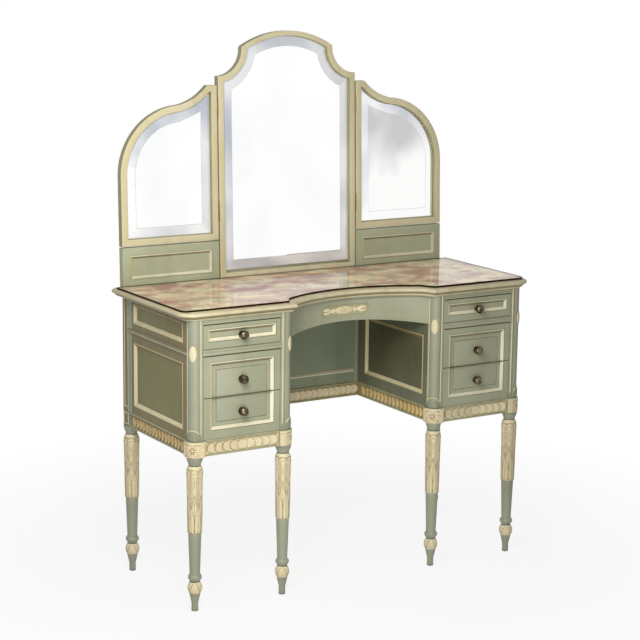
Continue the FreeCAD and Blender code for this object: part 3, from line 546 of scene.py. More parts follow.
def wood_grain(tree: Tree, source: Node) -> dict[str, object]:
    """Straight-grained board with fine pores."""
    get = source.outputs
    bands = tree.spread(tree.noise(22.0, 6.0, get["Run"]), 0.35, 0.68)
    pores = tree.spread(tree.noise(300.0, 2.0, get["Run"]), 0.55, 0.75)
    colour = tree.mix(bands, get["Pale"], get["Dark"])
    colour = tree.mix(tree.maths("MULTIPLY", pores, 0.5), colour, get["Dark"])
    return {"Color": colour, "Roughness": tree.spread(bands, 0.0, 1.0, 0.5, 0.68), "Height": pores}


def worn_metal(tree: Tree, source: Node) -> dict[str, object]:
    """Metal with a patchy skin that is rubbed bright."""
    get = source.outputs
    patch = tree.spread(tree.noise(90.0, 5.0), 0.42, 0.66)
    share = tree.maths("MAXIMUM", tree.maths("MULTIPLY", patch, get["Patches"]), tree.carving(), clamp=True)
    colour = tree.mix(share, get["Metal"], get["Skin"])
    return {"Color": colour, "Roughness": tree.spread(patch, 0.0, 1.0, 0.24, 0.42), "Height": patch}


def brocade(tree: Tree, source: Node) -> dict[str, object]:
    """Faded brocade: sprays of rose and grey green on cream, with ribbed threads."""
    get = source.outputs
    place = tree.place()
    sway = tree.add("ShaderNodeTexNoise", {"Vector": place, "Scale": 14.0, "Detail": 3.0}).outputs["Color"]
    bend = tree.add("ShaderNodeVectorMath", {0: sway, 3: 0.05}, operation="SCALE").outputs[0]
    bent = tree.add("ShaderNodeVectorMath", {0: place, 1: bend}, operation="ADD").outputs[0]
    sprays = tree.add("ShaderNodeTexVoronoi", {"Vector": bent, "Scale": 16.0}).outputs["Distance"]
    bloom = tree.spread(sprays, 0.18, 0.46, 1.0, 0.0)
    heart = tree.spread(sprays, 0.05, 0.2, 1.0, 0.0)
    cloud = tree.spread(tree.noise(12.0, 6.0, (1, 1.5, 1), bent), 0.42, 0.62)
    leaf = tree.spread(tree.noise(27.0, 5.0, (1, 1.3, 1), bent), 0.5, 0.64)
    colour = tree.mix(cloud, get["Ground"], get["Rose"])
    colour = tree.mix(tree.maths("MULTIPLY", leaf, 0.85), colour, get["Leaf"])
    colour = tree.mix(tree.maths("MULTIPLY", bloom, 0.7), colour, get["Rose"])
    colour = tree.mix(tree.maths("MULTIPLY", heart, 0.7), colour, get["Deep"])
    weft = tree.noise(60.0, 3.0, (2.0, 14.0, 1))
    warp = tree.noise(60.0, 3.0, (14.0, 2.0, 1))
    thread = tree.maths("ADD", tree.maths("MULTIPLY", weft, 0.6), tree.maths("MULTIPLY", warp, 0.4))
    colour = tree.mix(tree.spread(thread, 0.42, 0.62, 0.0, 0.32), colour, get["Ground"])
    colour = tree.mix(tree.spread(weft, 0.5, 0.68, 0.0, 0.5), colour, get["Deep"])
    return {"Color": colour, "Roughness": tree.spread(thread, 0.3, 0.7, 0.6, 0.85), "Height": thread}


def silvering(tree: Tree, source: Node) -> dict[str, object]:
    """Silver with grey patches of painted reflection, stronger towards the head of the plate."""
    get = source.outputs
    height = tree.add("ShaderNodeSeparateXYZ", {0: tree.place()}).outputs["Z"]
    fall = tree.maths("MULTIPLY", tree.spread(height, 0.95, 1.18, -0.3, 0.5), get["Fall"])
    patch = tree.maths("ADD", tree.spread(tree.noise(6.0, 2.0, (1, 1, 0.8)), 0.42, 0.64), fall, clamp=True)
    return {"Color": tree.mix(patch, get["Shade"], get["Cloud"])}


def smeared(tree: Tree, source: Node) -> dict[str, object]:
    """Clear glass with a faint smear."""
    get = source.outputs
    smear = tree.noise(12.0, 4.0)
    rough = tree.maths("ADD", get["Roughness"], tree.spread(smear, 0.3, 0.7, 0.0, 0.03))
    return {"Color": tree.mix(smear, get["Tint"], get["Smear"]), "Roughness": rough}


class Effect(Enum):
    """Surface effects, each a shader group built once."""
    PAINT = ("Old paint", old_paint, {
        "Coat": tone(165, 168, 145), "Worn": tone(190, 190, 165), "Grime": tone(90, 75, 45), "Roughness": 0.5,
        "Clouding": 0.6, "Streaks": 0.3, "Carving": 0.8, "Flecks": 0.5})
    GRAIN = ("Wood grain", wood_grain, {
        "Pale": tone(176, 136, 92), "Dark": tone(128, 90, 54), "Run": (1.0, 0.06, 0.9)})
    METAL = ("Worn metal", worn_metal, {"Metal": tone(190, 150, 90), "Skin": tone(60, 52, 38), "Patches": 0.8})
    BROCADE = ("Brocade", brocade, {
        "Ground": tone(238, 214, 174), "Rose": tone(166, 72, 70), "Leaf": tone(146, 156, 132),
        "Deep": tone(104, 38, 38)})
    SILVER = ("Silvering", silvering, {
        "Shade": tone(255, 255, 255), "Cloud": tone(250, 251, 251), "Fall": 0.0})
    GLASS = ("Smeared glass", smeared, {
        "Tint": tone(252, 255, 253), "Smear": tone(250, 252, 250), "Roughness": 0.0})

    def group(self) -> NodeTree:
        """The effect's node group."""
        name, build, inputs = self.value
        return bpy.data.node_groups.get(name) or shader_group(name, inputs, build)


def blank_material(name: str) -> tuple[Material, Tree, Node]:
    """New material, its node tree and its shader."""
    material = bpy.data.materials.new(name)
    material.use_nodes = True
    return material, Tree(material.node_tree), material.node_tree.nodes["Principled BSDF"]


@dataclass(frozen=True)
class Finish:
    """A finish of this piece: an effect with its own values, and the constants of its gloss."""
    name: str
    effect: Effect
    values: tuple[tuple[str, object], ...] = ()
    relief: float = 0.15
    depth: float = 0.0004
    gloss: tuple[tuple[str, float], ...] = ()

    def material(self) -> Material:
        """The material, made the first time that it is asked for."""
        made = bpy.data.materials.get(self.name)
        if made:
            return made
        material, tree, shader = blank_material(self.name)
        effect = tree.add("ShaderNodeGroup", node_tree=self.effect.group())
        for label, given in self.values:
            effect.inputs[label].default_value = given
        outputs, link = effect.outputs, material.node_tree.links.new
        link(outputs["Color"], shader.inputs["Base Color"])
        if "Roughness" in outputs:
            link(outputs["Roughness"], shader.inputs["Roughness"])
        if "Height" in outputs:
            bump = tree.add("ShaderNodeBump", {"Strength": self.relief, "Distance": self.depth,
                                               "Height": outputs["Height"]})
            link(bump.outputs[0], shader.inputs["Normal"])
        for label, given in self.gloss:
            shader.inputs[label].default_value = given
        return material


def paint(name: str, coat: Triple, worn: Triple, grime: Triple, **values: float) -> Finish:
    """A coat of old paint from three screen colours."""
    given = [("Coat", tone(*coat)), ("Worn", tone(*worn)), ("Grime", tone(*grime))]
    given += [(label.capitalize(), number) for label, number in values.items()]
    return Finish(name, Effect.PAINT, tuple(given))


def metal(name: str, bright: Triple, skin: Triple, patches: float) -> Finish:
    """A metal with its skin."""
    return Finish(name, Effect.METAL, (("Metal", tone(*bright)), ("Skin", tone(*skin)), ("Patches", patches)),
                  0.3, 0.0002, (("Metallic", 1.0),))


def silver(name: str, shade: Triple, cloud: Triple, metallic: float = 1.0, fall: float = 0.0) -> Finish:
    """Silvered glass with grey patches of painted reflection in it; fall makes them stronger towards the head."""
    return Finish(name, Effect.SILVER, (("Shade", tone(*shade)), ("Cloud", tone(*cloud)), ("Fall", fall)),
                  gloss=(("Metallic", metallic), ("Roughness", 0.02)))


def glass(name: str, tint: Triple, rough: float, through: float) -> Finish:
    """Clear glass of a tint, with the share of light that passes through it."""
    values = (("Tint", tone(*tint)), ("Smear", tone(*[c * 0.99 for c in tint])), ("Roughness", rough))
    return Finish(name, Effect.GLASS, values, gloss=(("Transmission Weight", through), ("IOR", 1.09)))


SAGE = paint("sage paint", (157, 159, 131), (173, 173, 148), (112, 106, 74), streaks=0.12, flecks=0.25)
# The plinths' sage is a lighter copy of the sage paint, painted light where the plinths get less light.
PLINTH_LIGHTENED_SAGE = paint("plinth sage", (179, 182, 147), (193, 196, 165), (112, 112, 78), streaks=0.12, flecks=0.25)
OLIVE = paint("olive paint", (122, 116, 66), (136, 132, 84), (80, 70, 36), flecks=0.2)
SLATE = paint("grey-green paint", (150, 153, 129), (166, 168, 145), (104, 100, 72), carving=0.7, roughness=0.42)
DEEP = paint("kneehole paint", (134, 144, 118), (150, 158, 132), (84, 84, 60), flecks=0.2)
SIDE = paint("side paint", (121, 110, 69), (136, 127, 86), (84, 74, 42), flecks=0.25)
SHADE = paint("shadow line", (70, 62, 34), (84, 76, 46), (50, 42, 22), streaks=0.2, flecks=0.2)
# Grey olive paint of the band bars and the cartouche field, also used as painted shade on the mirror frames'
# walls.
EDGE_PAINT_AND_SHADE = paint("frame edge paint", (160, 157, 118), (174, 170, 134), (96, 88, 56), flecks=0.2)
# Tan, and the umber that also grounds the side bands, are painted shade on the mouldings' dim sides.
SHADE_TAN = paint("moulding tan", (196, 182, 136), (208, 196, 154), (130, 108, 64), clouding=0.5, streaks=0.2)
UMBER_AND_SHADE = paint("moulding shadow", (132, 124, 88), (146, 140, 106), (84, 76, 46), streaks=0.2)
CREAM = paint("cream paint", (226, 219, 187), (240, 235, 208), (150, 126, 80), clouding=0.5, streaks=0.22,
              flecks=0.3)
FRAME = paint("mirror frame cream", (219, 208, 166), (230, 220, 183), (150, 134, 86), streaks=0.2, flecks=0.3)
NOSE = paint("nose cream", (206, 194, 156), (220, 210, 176), (140, 120, 76), streaks=0.35, flecks=0.4)
CARVED = paint("carved cream", (226, 210, 168), (236, 223, 188), (112, 90, 48), clouding=0.5, streaks=0.15,
               carving=0.85, flecks=0.4)
LEAFAGE = paint("leg cream", (224, 210, 168), (234, 222, 188), (116, 94, 50), streaks=0.2, carving=0.75,
                flecks=0.4)
OCHRE = paint("ochre paint", (196, 174, 122), (210, 190, 144), (112, 92, 50), streaks=0.25)
GILT = paint("gilt ochre", (238, 208, 142), (248, 222, 170), (84, 62, 26), clouding=0.5, streaks=0.2,
             carving=0.85)
# Kneehole paints: a greenish paint and the olive panel paint, both darkened as painted shade inside the kneehole.
NICHE_SHADE = paint("niche paint", (104, 106, 84), (118, 120, 96), (64, 62, 42), flecks=0.2)
KNEE_PANEL_SHADE = paint("niche panel paint", (84, 84, 58), (96, 96, 68), (58, 56, 36), clouding=0.8, streaks=0.2,
               flecks=0.2)
COVE = paint("cove paint", (158, 144, 96), (172, 160, 114), (92, 78, 42))
PALE_WOOD = Finish("drawer wood", Effect.GRAIN, (), 0.2, 0.0002)
DARK_WOOD = Finish("backing wood", Effect.GRAIN, (("Pale", tone(112, 82, 54)), ("Dark", tone(70, 48, 30)),
                                                    ("Run", (1.0, 1.0, 0.05))), 0.25, 0.0003)
BRONZE = metal("knob bronze", (112, 102, 82), (40, 36, 26), 0.95)
BRASS = metal("hinge brass", (150, 134, 84), (84, 74, 44), 0.8)
STEEL = metal("glide steel", (150, 150, 148), (86, 80, 72), 0.6)
CLOTH = Finish("rose brocade", Effect.BROCADE, (), 0.5, 0.0006, (("Sheen Weight", 0.05),))
MIRROR_SILVER = silver("mirror silver", (255, 255, 255), (250, 251, 251))
# The right wing's silver is painted grey towards its head, as a painted reflection.
GREY_REFLECTION_SILVER = silver("clouded silver", (252, 252, 251), (202, 203, 202), fall=1.0)
# The bevel silvers carry painted reflection: grey and lilac where the bevel faces away from the lamps, white
# where it faces them, and white with grey patches on the right wing.
GREY_REFLECTION_BEVEL = silver("bevel silver", (238, 240, 244), (192, 196, 206), 0.25)
BEVEL_LINE = silver("bevel line", (190, 192, 190), (206, 208, 206))
RIM_LINE = silver("rim line", (150, 148, 118), (168, 164, 136), 0.0)
BRIGHT_BEVEL = silver("bright bevel", (255, 255, 255), (222, 224, 230), 0.3)
REFLECTED_WING_BEVEL = silver("wing bevel", (255, 255, 255), (206, 208, 216), 0.9)
TRIM = (CREAM, SHADE, SHADE_TAN, UMBER_AND_SHADE)
TABLE_GLASS = glass("table glass", (252, 255, 253), 0.0, 1.0)
GLASS_EDGE = glass("ground glass edge", (48, 54, 26), 0.12, 0.35)


REPEAT_INPUTS = (("Shape", "NodeSocketObject"), ("Count", "NodeSocketInt"), ("Step", VECTOR), ("Turn", NUMBER),
                 ("Finish", "NodeSocketMaterial"))


def repeat_tree() -> NodeTree:
    """Copies of a shape in a row; each is turned about the upright axis by one more step."""
    name = "Repeated shape"
    if name in bpy.data.node_groups:
        return bpy.data.node_groups[name]
    group = bpy.data.node_groups.new(name, "GeometryNodeTree")
    for label, kind in REPEAT_INPUTS:
        group.interface.new_socket(name=label, in_out="INPUT", socket_type=kind)
    group.interface.new_socket(name="Geometry", in_out="OUTPUT", socket_type="NodeSocketGeometry")
    tree = Tree(group)
    get = tree.add("NodeGroupInput").outputs
    row = tree.add("GeometryNodeMeshLine", {"Count": get["Count"], "Offset": get["Step"]}, mode="OFFSET")
    angle = tree.maths("MULTIPLY", tree.add("GeometryNodeInputIndex").outputs[0], get["Turn"])
    euler = tree.add("ShaderNodeCombineXYZ", {"Z": angle}).outputs[0]
    turned = tree.add("FunctionNodeEulerToRotation", {0: euler}).outputs[0]
    shape = tree.add("GeometryNodeObjectInfo", {"Object": get["Shape"]}).outputs["Geometry"]
    copies = tree.add("GeometryNodeInstanceOnPoints", {"Points": row.outputs[0], "Instance": shape,
                                                       "Rotation": turned}).outputs[0]
    solid = tree.add("GeometryNodeRealizeInstances", {0: copies}).outputs[0]
    done = tree.add("GeometryNodeSetMaterial", {"Geometry": solid, "Material": get["Finish"]}).outputs[0]
    tree.add("NodeGroupOutput", {0: done})
    return group


def repeated(shape: Object, count: int, step: float, turn: float,
             finish: Finish) -> Mesh:
    """Repeat a shape along X with Geometry Nodes.

    Args:
        shape: Object to repeat; it stays, and the first copy is where it is.
        count: Number of copies.
        step: From one copy to the next, in millimetres.
        turn: Turn from one copy to the next, in radians.
        finish: Finish of the copies.

    Returns:
        A plain mesh of the copies.
    """
    holder = linked("repeat_holder", bpy.data.meshes.new("repeat_holder"))
    modifier = holder.modifiers.new("Repeat", "NODES")
    modifier.node_group = repeat_tree()
    given = {"Shape": shape, "Count": count, "Step": X * step * MM, "Turn": turn, "Finish": finish.material()}
    for socket in modifier.node_group.interface.items_tree:
        if socket.in_out == "INPUT":
            modifier[socket.identifier] = given[socket.name]
    graph = bpy.context.evaluated_depsgraph_get()
    mesh = bpy.data.meshes.new_from_object(holder.evaluated_get(graph), depsgraph=graph)
    bpy.data.objects.remove(holder)
    return mesh


def gathered(name: str, parts: Sequence[tuple[Mesh, Matrix]]) -> Object:
    """One object from several meshes, each moved by a matrix in metres; all share the first one's finishes."""
    work = bmesh.new()
    for mesh, move in parts:
        copy = mesh.copy()
        copy.transform(move)
        work.from_mesh(copy)
        bpy.data.meshes.remove(copy)
    return finished(bpy.data.meshes.new(name), work, parts[0][0].materials, 35)


def on_plane(plane: Plane, x: float, z: float, rise: float = 0.0) -> Matrix:
    """Matrix in metres that lays a shape's flat XY on a face: its X across, its Y up, its Z out."""
    basis = Matrix((plane.across, plane.up, plane.out)).transposed().to_4x4()
    return Matrix.Translation(plane.at(x, z, rise) * MM) @ basis


def mirrored(side: Side) -> Matrix:
    """The piece itself on the right, its mirror image on the left."""
    return Matrix.Diagonal((side.value, 1, 1, 1))


BOTH = [mirrored(side) for side in Side]


@dataclass(frozen=True)
class Leaf:
    """One of the three mirrors.

    Attributes:
        outline: Gives its outline for an inset at the sides, an inset at the arch and a height of the foot.
        foot: Height of the frame's foot.
        plate_foot: Height that the insets of the plate count from.
        face: Width of the frame at the sides.
        arch_face: Width of the frame at the arch.
        side: Its half of the table; on the left, it is the mirror image.
        clouded: Whether its silver and bevel carry grey patches of painted reflection.
    """
    outline: Callable[[float, float, float], list[Pair]]
    foot: float
    plate_foot: float
    face: float
    arch_face: float
    side: Side = Side.RIGHT
    clouded: bool = False


@dataclass
class Mirrors:
    """The fixed middle mirror, the two wings that swing on it, and the plinths below the wings."""
    centre_half: float = 211.0
    shoulder: float = 529.0
    neck: float = 72.0
    neck_z: float = 601.0
    arch_radius: float = 262.626
    arch_z: float = 380.874
    foot: float = -5.347
    face: float = 17.0
    arch_face: float = 13.5
    wing_in: float = 214.4
    wing_half: float = 495.0
    wing_top: float = 506.0
    brow_z: float = 279.3
    brow_radius: float = 179.0
    brow_x: float = 328.0
    scroll: float = 150.0
    wing_flat: float = 28.0
    tip_share: float = 0.3
    wing_low: float = 101.0
    wing_face: float = 18.0
    plinth: float = 98.0
    depth: float = 20.0
    sight: float = 9.0
    rebate: float = 6.0
    cover: float = 5.5
    bevel: float = 27.0
    bright_points: int = 28
    turn_share: float = 0.978
    field_margin: float = 21.5

    def centre_line(self, inset: float, arch_inset: float, low: float) -> list[Pair]:
        """Outline of the middle mirror, moved in.

        Args:
            inset: Distance in from the sides.
            arch_inset: Distance in from the arch.
            low: Height of the foot.

        Returns:
            The outline, counter-clockwise, with the same number of points for any inset.
        """
        half, size = self.centre_half - inset, self.neck + inset
        shoulder = self.neck_z - sqrt(size ** 2 - inset ** 2)
        neck = (self.centre_half - size * self.turn_share,
                self.neck_z - size * sqrt(1 - self.turn_share ** 2))
        arch = self.arch_radius - arch_inset
        corner = (self.centre_half - size, self.arch_z + sqrt(arch ** 2 - (self.centre_half - size) ** 2))
        return trace((-half, low), (
            ((half, low), 12), ((half, shoulder), 16), (neck, 22, size, -1), (corner, 3),
            ((-corner[0], corner[1]), 44, arch, 1), ((-neck[0], neck[1]), 3), ((-half, shoulder), 22, size, -1),
            ((-half, low), 16)))[:-1]

    def wing_line(self, inset: float, arch_inset: float, low: float) -> list[Pair]:
        """Outline of the right wing, moved in, as the middle mirror's is; it has one inset all round.

        Where the inset is so wide that the hollow top would end past the inner side, the hollow stops at that
        side, and it straightens with the inset, as the real bevel's does.
        """
        del arch_inset
        inner, outer, brow = self.wing_in + inset, self.wing_half - inset, self.brow_radius - inset
        centre = self.wing_half - self.brow_radius
        lean = (self.brow_x - centre) / self.brow_radius
        join = (centre + brow * lean, self.brow_z + brow * sqrt(1 - lean ** 2))
        path = trace((inner, low), (((outer, low), 12), ((outer, self.brow_z), 12), (join, 36, brow, 1)))
        tip = (self.wing_in + self.wing_flat - self.tip_share * inset, self.wing_top - inset)
        scroll = arc(path[-1], tip, self.scroll + inset, -1, 48)
        kept = [path[-1]] + [point for point in scroll if point[0] > inner]
        if len(kept) < len(scroll):
            kept.append((inner, kept[-1][1] + 0.5 * (kept[-1][1] - kept[-2][1])))
        straighten = 0.75 * smooth(inset, 24, 44)
        (start_x, start_z), (end_x, end_z) = kept[0], kept[-1]
        for i in range(1, 25):
            whole, share = divmod(i * (len(kept) - 1) / 24, 1)
            first, last = kept[int(whole)], kept[min(int(whole) + 1, len(kept) - 1)]
            x, z = (a + (b - a) * share for a, b in zip(first, last))
            chord = start_z + (end_z - start_z) * (x - start_x) / (end_x - start_x)
            path.append((x, z + (chord - z) * straighten))
        return path + trace(path[-1], (((inner, path[-1][1]), 4), ((inner, low), 16)))[1:-1]

    def frame(self, name: str, leaf: Leaf) -> Object:
        """A mirror's frame: flat face with soft edges, and a rebate behind."""
        face, sight, rim = leaf.face, -self.sight, leaf.face - self.rebate
        section = ((0.0, -self.depth), (0.0, -1.7), (0.25, -0.9), (0.9, -0.25), (1.8, 0.0), (face - 1.6, 0.0),
                   (face - 0.7, -0.3), (face - 0.15, -1.0), (face, -1.8), (face, sight), (rim, sight),
                   (rim, -self.depth))
        # The outer side wall, the inner soft edge and the sight wall take the darker edge paint, as painted shade
        # on the cream.
        edges = (0, 6, 7, 8)
        form = Form()
        form.net([[MIRROR.at(x, z, rise)
                   for x, z in leaf.outline(inset, leaf.arch_face * (inset / face), leaf.foot + inset)]
                  for inset, rise in section], around=True, over=True, slots=lambda i, j: int(i in edges))
        return form.piece(name, (FRAME, EDGE_PAINT_AND_SHADE), moves=[mirrored(leaf.side)])

    def plate(self, name: str, leaf: Leaf) -> Object:
        """A silvered plate with a ground bevel all round, painted bright where it faces the lamps and grey
        elsewhere, as a painted reflection.
        """
        flat, dim, edge, rim, bright = range(5)
        across, over = leaf.face - self.cover, leaf.arch_face - self.cover
        inner = self.cover + self.bevel
        rings = ((0.0, -4.0, rim), (0.0, -2.2, rim), (6.3, -1.8, dim), (inner - 0.9, 0.0, edge),
                 (inner, 0.0, flat))

        def slot(ring: int, column: int) -> int:
            """Finish number; the bevel is painted bright along the foot and up the right side, as a painted
            reflection.
            """
            lit = leaf.clouded or column < self.bright_points
            return bright if rings[ring][2] == dim and lit else rings[ring][2]

        form = Form()
        numbers = form.net([[MIRROR.at(x, z, rise - self.sight)
                             for x, z in leaf.outline(across + inset, over + inset,
                                                      leaf.plate_foot + across + inset)]
                            for inset, rise, _ in rings], around=True, slots=slot)
        form.caps(numbers, rim, flat)
        finishes = (GREY_REFLECTION_SILVER if leaf.clouded else MIRROR_SILVER, GREY_REFLECTION_BEVEL, BEVEL_LINE, RIM_LINE,
                    REFLECTED_WING_BEVEL if leaf.clouded else BRIGHT_BEVEL)
        return form.piece(name, finishes, sharp=0.8, moves=[mirrored(leaf.side)])

    def plinths(self) -> None:
        """Blocks under the wings with a cream rectangle on each."""
        # The dark ring round each field is a painted shadow line, and the field moulding's head and one side are
        # painted shade.
        rings = [(0.0, -self.depth, PLAIN), (0.0, -0.8, PLAIN), (0.3, -0.2, PLAIN), (0.9, 0.0, PLAIN)]
        rings += [(self.field_margin + inset, rise, slots) for inset, rise, slots in (
            (-1.0, 0.0, SHADOWED), (-0.6, -0.5, PLAIN), (0.0, 0.2, RIDGE), (0.5, 1.4, RIDGE), (1.4, 1.8, RIDGE),
            (2.4, 1.5, SLOPE), (7.6, -2.8, PLAIN), (9.0, -3.0, PLAIN))]
        steps = [(inset, inset, inset, rise, slots) for inset, rise, slots in rings]
        form = Form()
        for left in (self.wing_in, -self.wing_half):
            fielded(form, MIRROR, (left, self.foot, left + self.wing_half - self.wing_in, self.plinth), steps)
        ride(form.piece("wing_plinths", (PLINTH_LIGHTENED_SAGE, *TRIM)), "sage_paint", "plinth_panels")

    def build(self) -> None:
        """Make and fix all the mirror pieces."""
        leaf = Leaf(self.centre_line, self.foot, 0.0, self.face, self.arch_face)
        ride(self.frame("centre_mirror_frame", leaf), "cream_paint", "centre_frame")
        ride(self.plate("centre_mirror_plate", leaf), "mirror_glass", "centre_mirror")
        for side in Side:
            body = f"wing_{side.word}"
            leaf = Leaf(self.wing_line, self.wing_low, self.wing_low, self.wing_face, self.wing_face, side,
                        side is Side.RIGHT)
            ride(self.frame(f"{body}_surround", leaf), "cream_paint", f"wing_frame_{side.word}", body=body)
            ride(self.plate(f"{body}_plate", leaf), "mirror_glass", f"wing_mirror_{side.word}", body=body)
        self.plinths()


@dataclass
class Top:
    """The wooden top with its moulded nose, the brocade on it and the glass over that."""
    nose_side: float = 30.0
    corner: float = 40.0
    clip: float = 11.0
    step_half: float = 208.0
    bay_half: float = 190.0
    cloth_side: float = 9.0
    cloth_front: float = 22.0
    cloth_thick: float = 1.0
    mirror_gap: float = 1.5

    def line(self, side: float, front: float, back: float, clip: float = 0.01) -> list[Pair]:
        """Plan of the top, moved in at the sides and front, and ending at a back line with clipped corners."""
        half, low = S.side_x + self.nose_side - side, S.nose_y + front
        turn, step, bay = self.corner - front, self.step_half + front / 2, self.bay_half + front / 2
        hollow = S.bay_radius + front
        bay_low = S.bay_centre + sqrt(hollow ** 2 - bay ** 2)
        return [(-half + clip, back)] + trace((-half, back - clip), (
            ((-half, low + turn), 6), ((-half + turn, low), 16, turn, 1), ((-step, low), 6), ((-bay, bay_low), 3),
            ((bay, bay_low), 40, hollow, -1), ((step, low), 3), ((half - turn, low), 6),
            ((half, low + turn), 16, turn, 1), ((half, back - clip), 6))) + [(half - clip, back)]

    def board(self) -> Object:
        """Board with a bullnose over a cove and a fillet."""
        nose, cove, shade = range(3)
        section = ((9.0, 742.0, cove), (8.8, 743.2, cove), (7.4, 745.0, cove), (5.0, 746.2, shade),
                   (3.4, 746.4, shade), (3.2, 747.2, nose), (1.5, 747.5, nose), (0.5, 748.5, nose),
                   (0.05, 750.0, nose), (0.0, 751.6, nose), (0.3, 753.4, nose), (1.1, 754.8, nose),
                   (2.4, 755.7, nose), (4.4, 756.0, nose), (6.4, 756.0, shade), (7.0, 755.7, nose),
                   (8.0, 756.0, nose))
        form = Form()
        rows = [level(self.line(inset, inset, S.top_back_y - 0.01 * i, self.clip), z)
                for i, (inset, z, _) in enumerate(section)]
        numbers = form.net(rows, around=True, slots=lambda i, j: section[i][2])
        form.caps(numbers, cove, nose)
        return form.piece("top_with_nose", (NOSE, COVE, SHADE))

    def cove(self) -> Object:
        """Hollow moulding that leads from the nose down to the case."""
        sage, nose, shade = range(3)
        section = ((9.2, 9.2, 742.3, shade), (10.0, 9.8, 741.0, nose), (13.0, 11.0, 738.6, nose),
                   (18.0, 12.4, 736.4, sage), (24.0, 13.6, 735.0, sage), (28.0, 14.2, 734.4, sage),
                   (29.6, 14.9, 733.6, sage), (29.8, 14.95, 742.3, sage))
        form = Form()
        rows = [level(self.line(side, front, S.back_y - 0.5), z) for side, front, z, _ in section]
        form.ends(form.net(rows, over=True, slots=lambda i, j: section[i][3]))
        return form.piece("cove_moulding", (SAGE, NOSE, SHADE))

    def slab(self, low: float, high: float, ease: float, rim: int) -> Form:
        """A sheet over the top between two heights, with its rim eased by a little and of its own finish."""
        form = Form()
        rows = [level(self.line(self.cloth_side + inset, self.cloth_front + inset,
                                S.mirror_y - self.mirror_gap - inset), z)
                for inset, z in ((ease, low), (0.0, low + ease), (0.0, high - ease), (ease, high))]
        form.caps(form.net(rows, around=True, slots=lambda i, j: rim))
        return form

    def build(self) -> None:
        """Make and fix the top's pieces."""
        ride(self.board(), "cream_paint", "top_board")
        ride(self.cove(), "cream_paint")
        head, play = S.board_top + self.cloth_thick, 0.05
        cloth = self.slab(S.board_top + play, head - play, 0.2, 0).piece("brocade_cloth", (CLOTH,))
        ride(cloth, "rose_cloth", "top_cloth")
        back = S.mirror_y - self.mirror_gap
        outline = self.line(self.cloth_side, self.cloth_front, back)
        plate = self.slab(head, S.table, 0.7, 1)
        ride(plate.piece("glass_plate", (TABLE_GLASS, GLASS_EDGE)), "table_glass", "glass_top")


class Row(Enum):
    """The drawers of a pedestal: low edge, height, margins at the side, top and bottom, and knob height."""
    TOP = (663.0, 61.0, 13.0, 13.0, 19.0, 691.5)
    MIDDLE = (542.0, 104.0, 18.0, 18.0, 0.0, 580.0)
    BOTTOM = (437.0, 104.0, 18.0, 0.0, 23.0, 499.0)

    @property
    def word(self) -> str:
        """The row's name in lower case."""
        return self.name.lower()

    @property
    def knob_z(self) -> float:
        """Height of the row's knobs."""
        return self.value[-1]


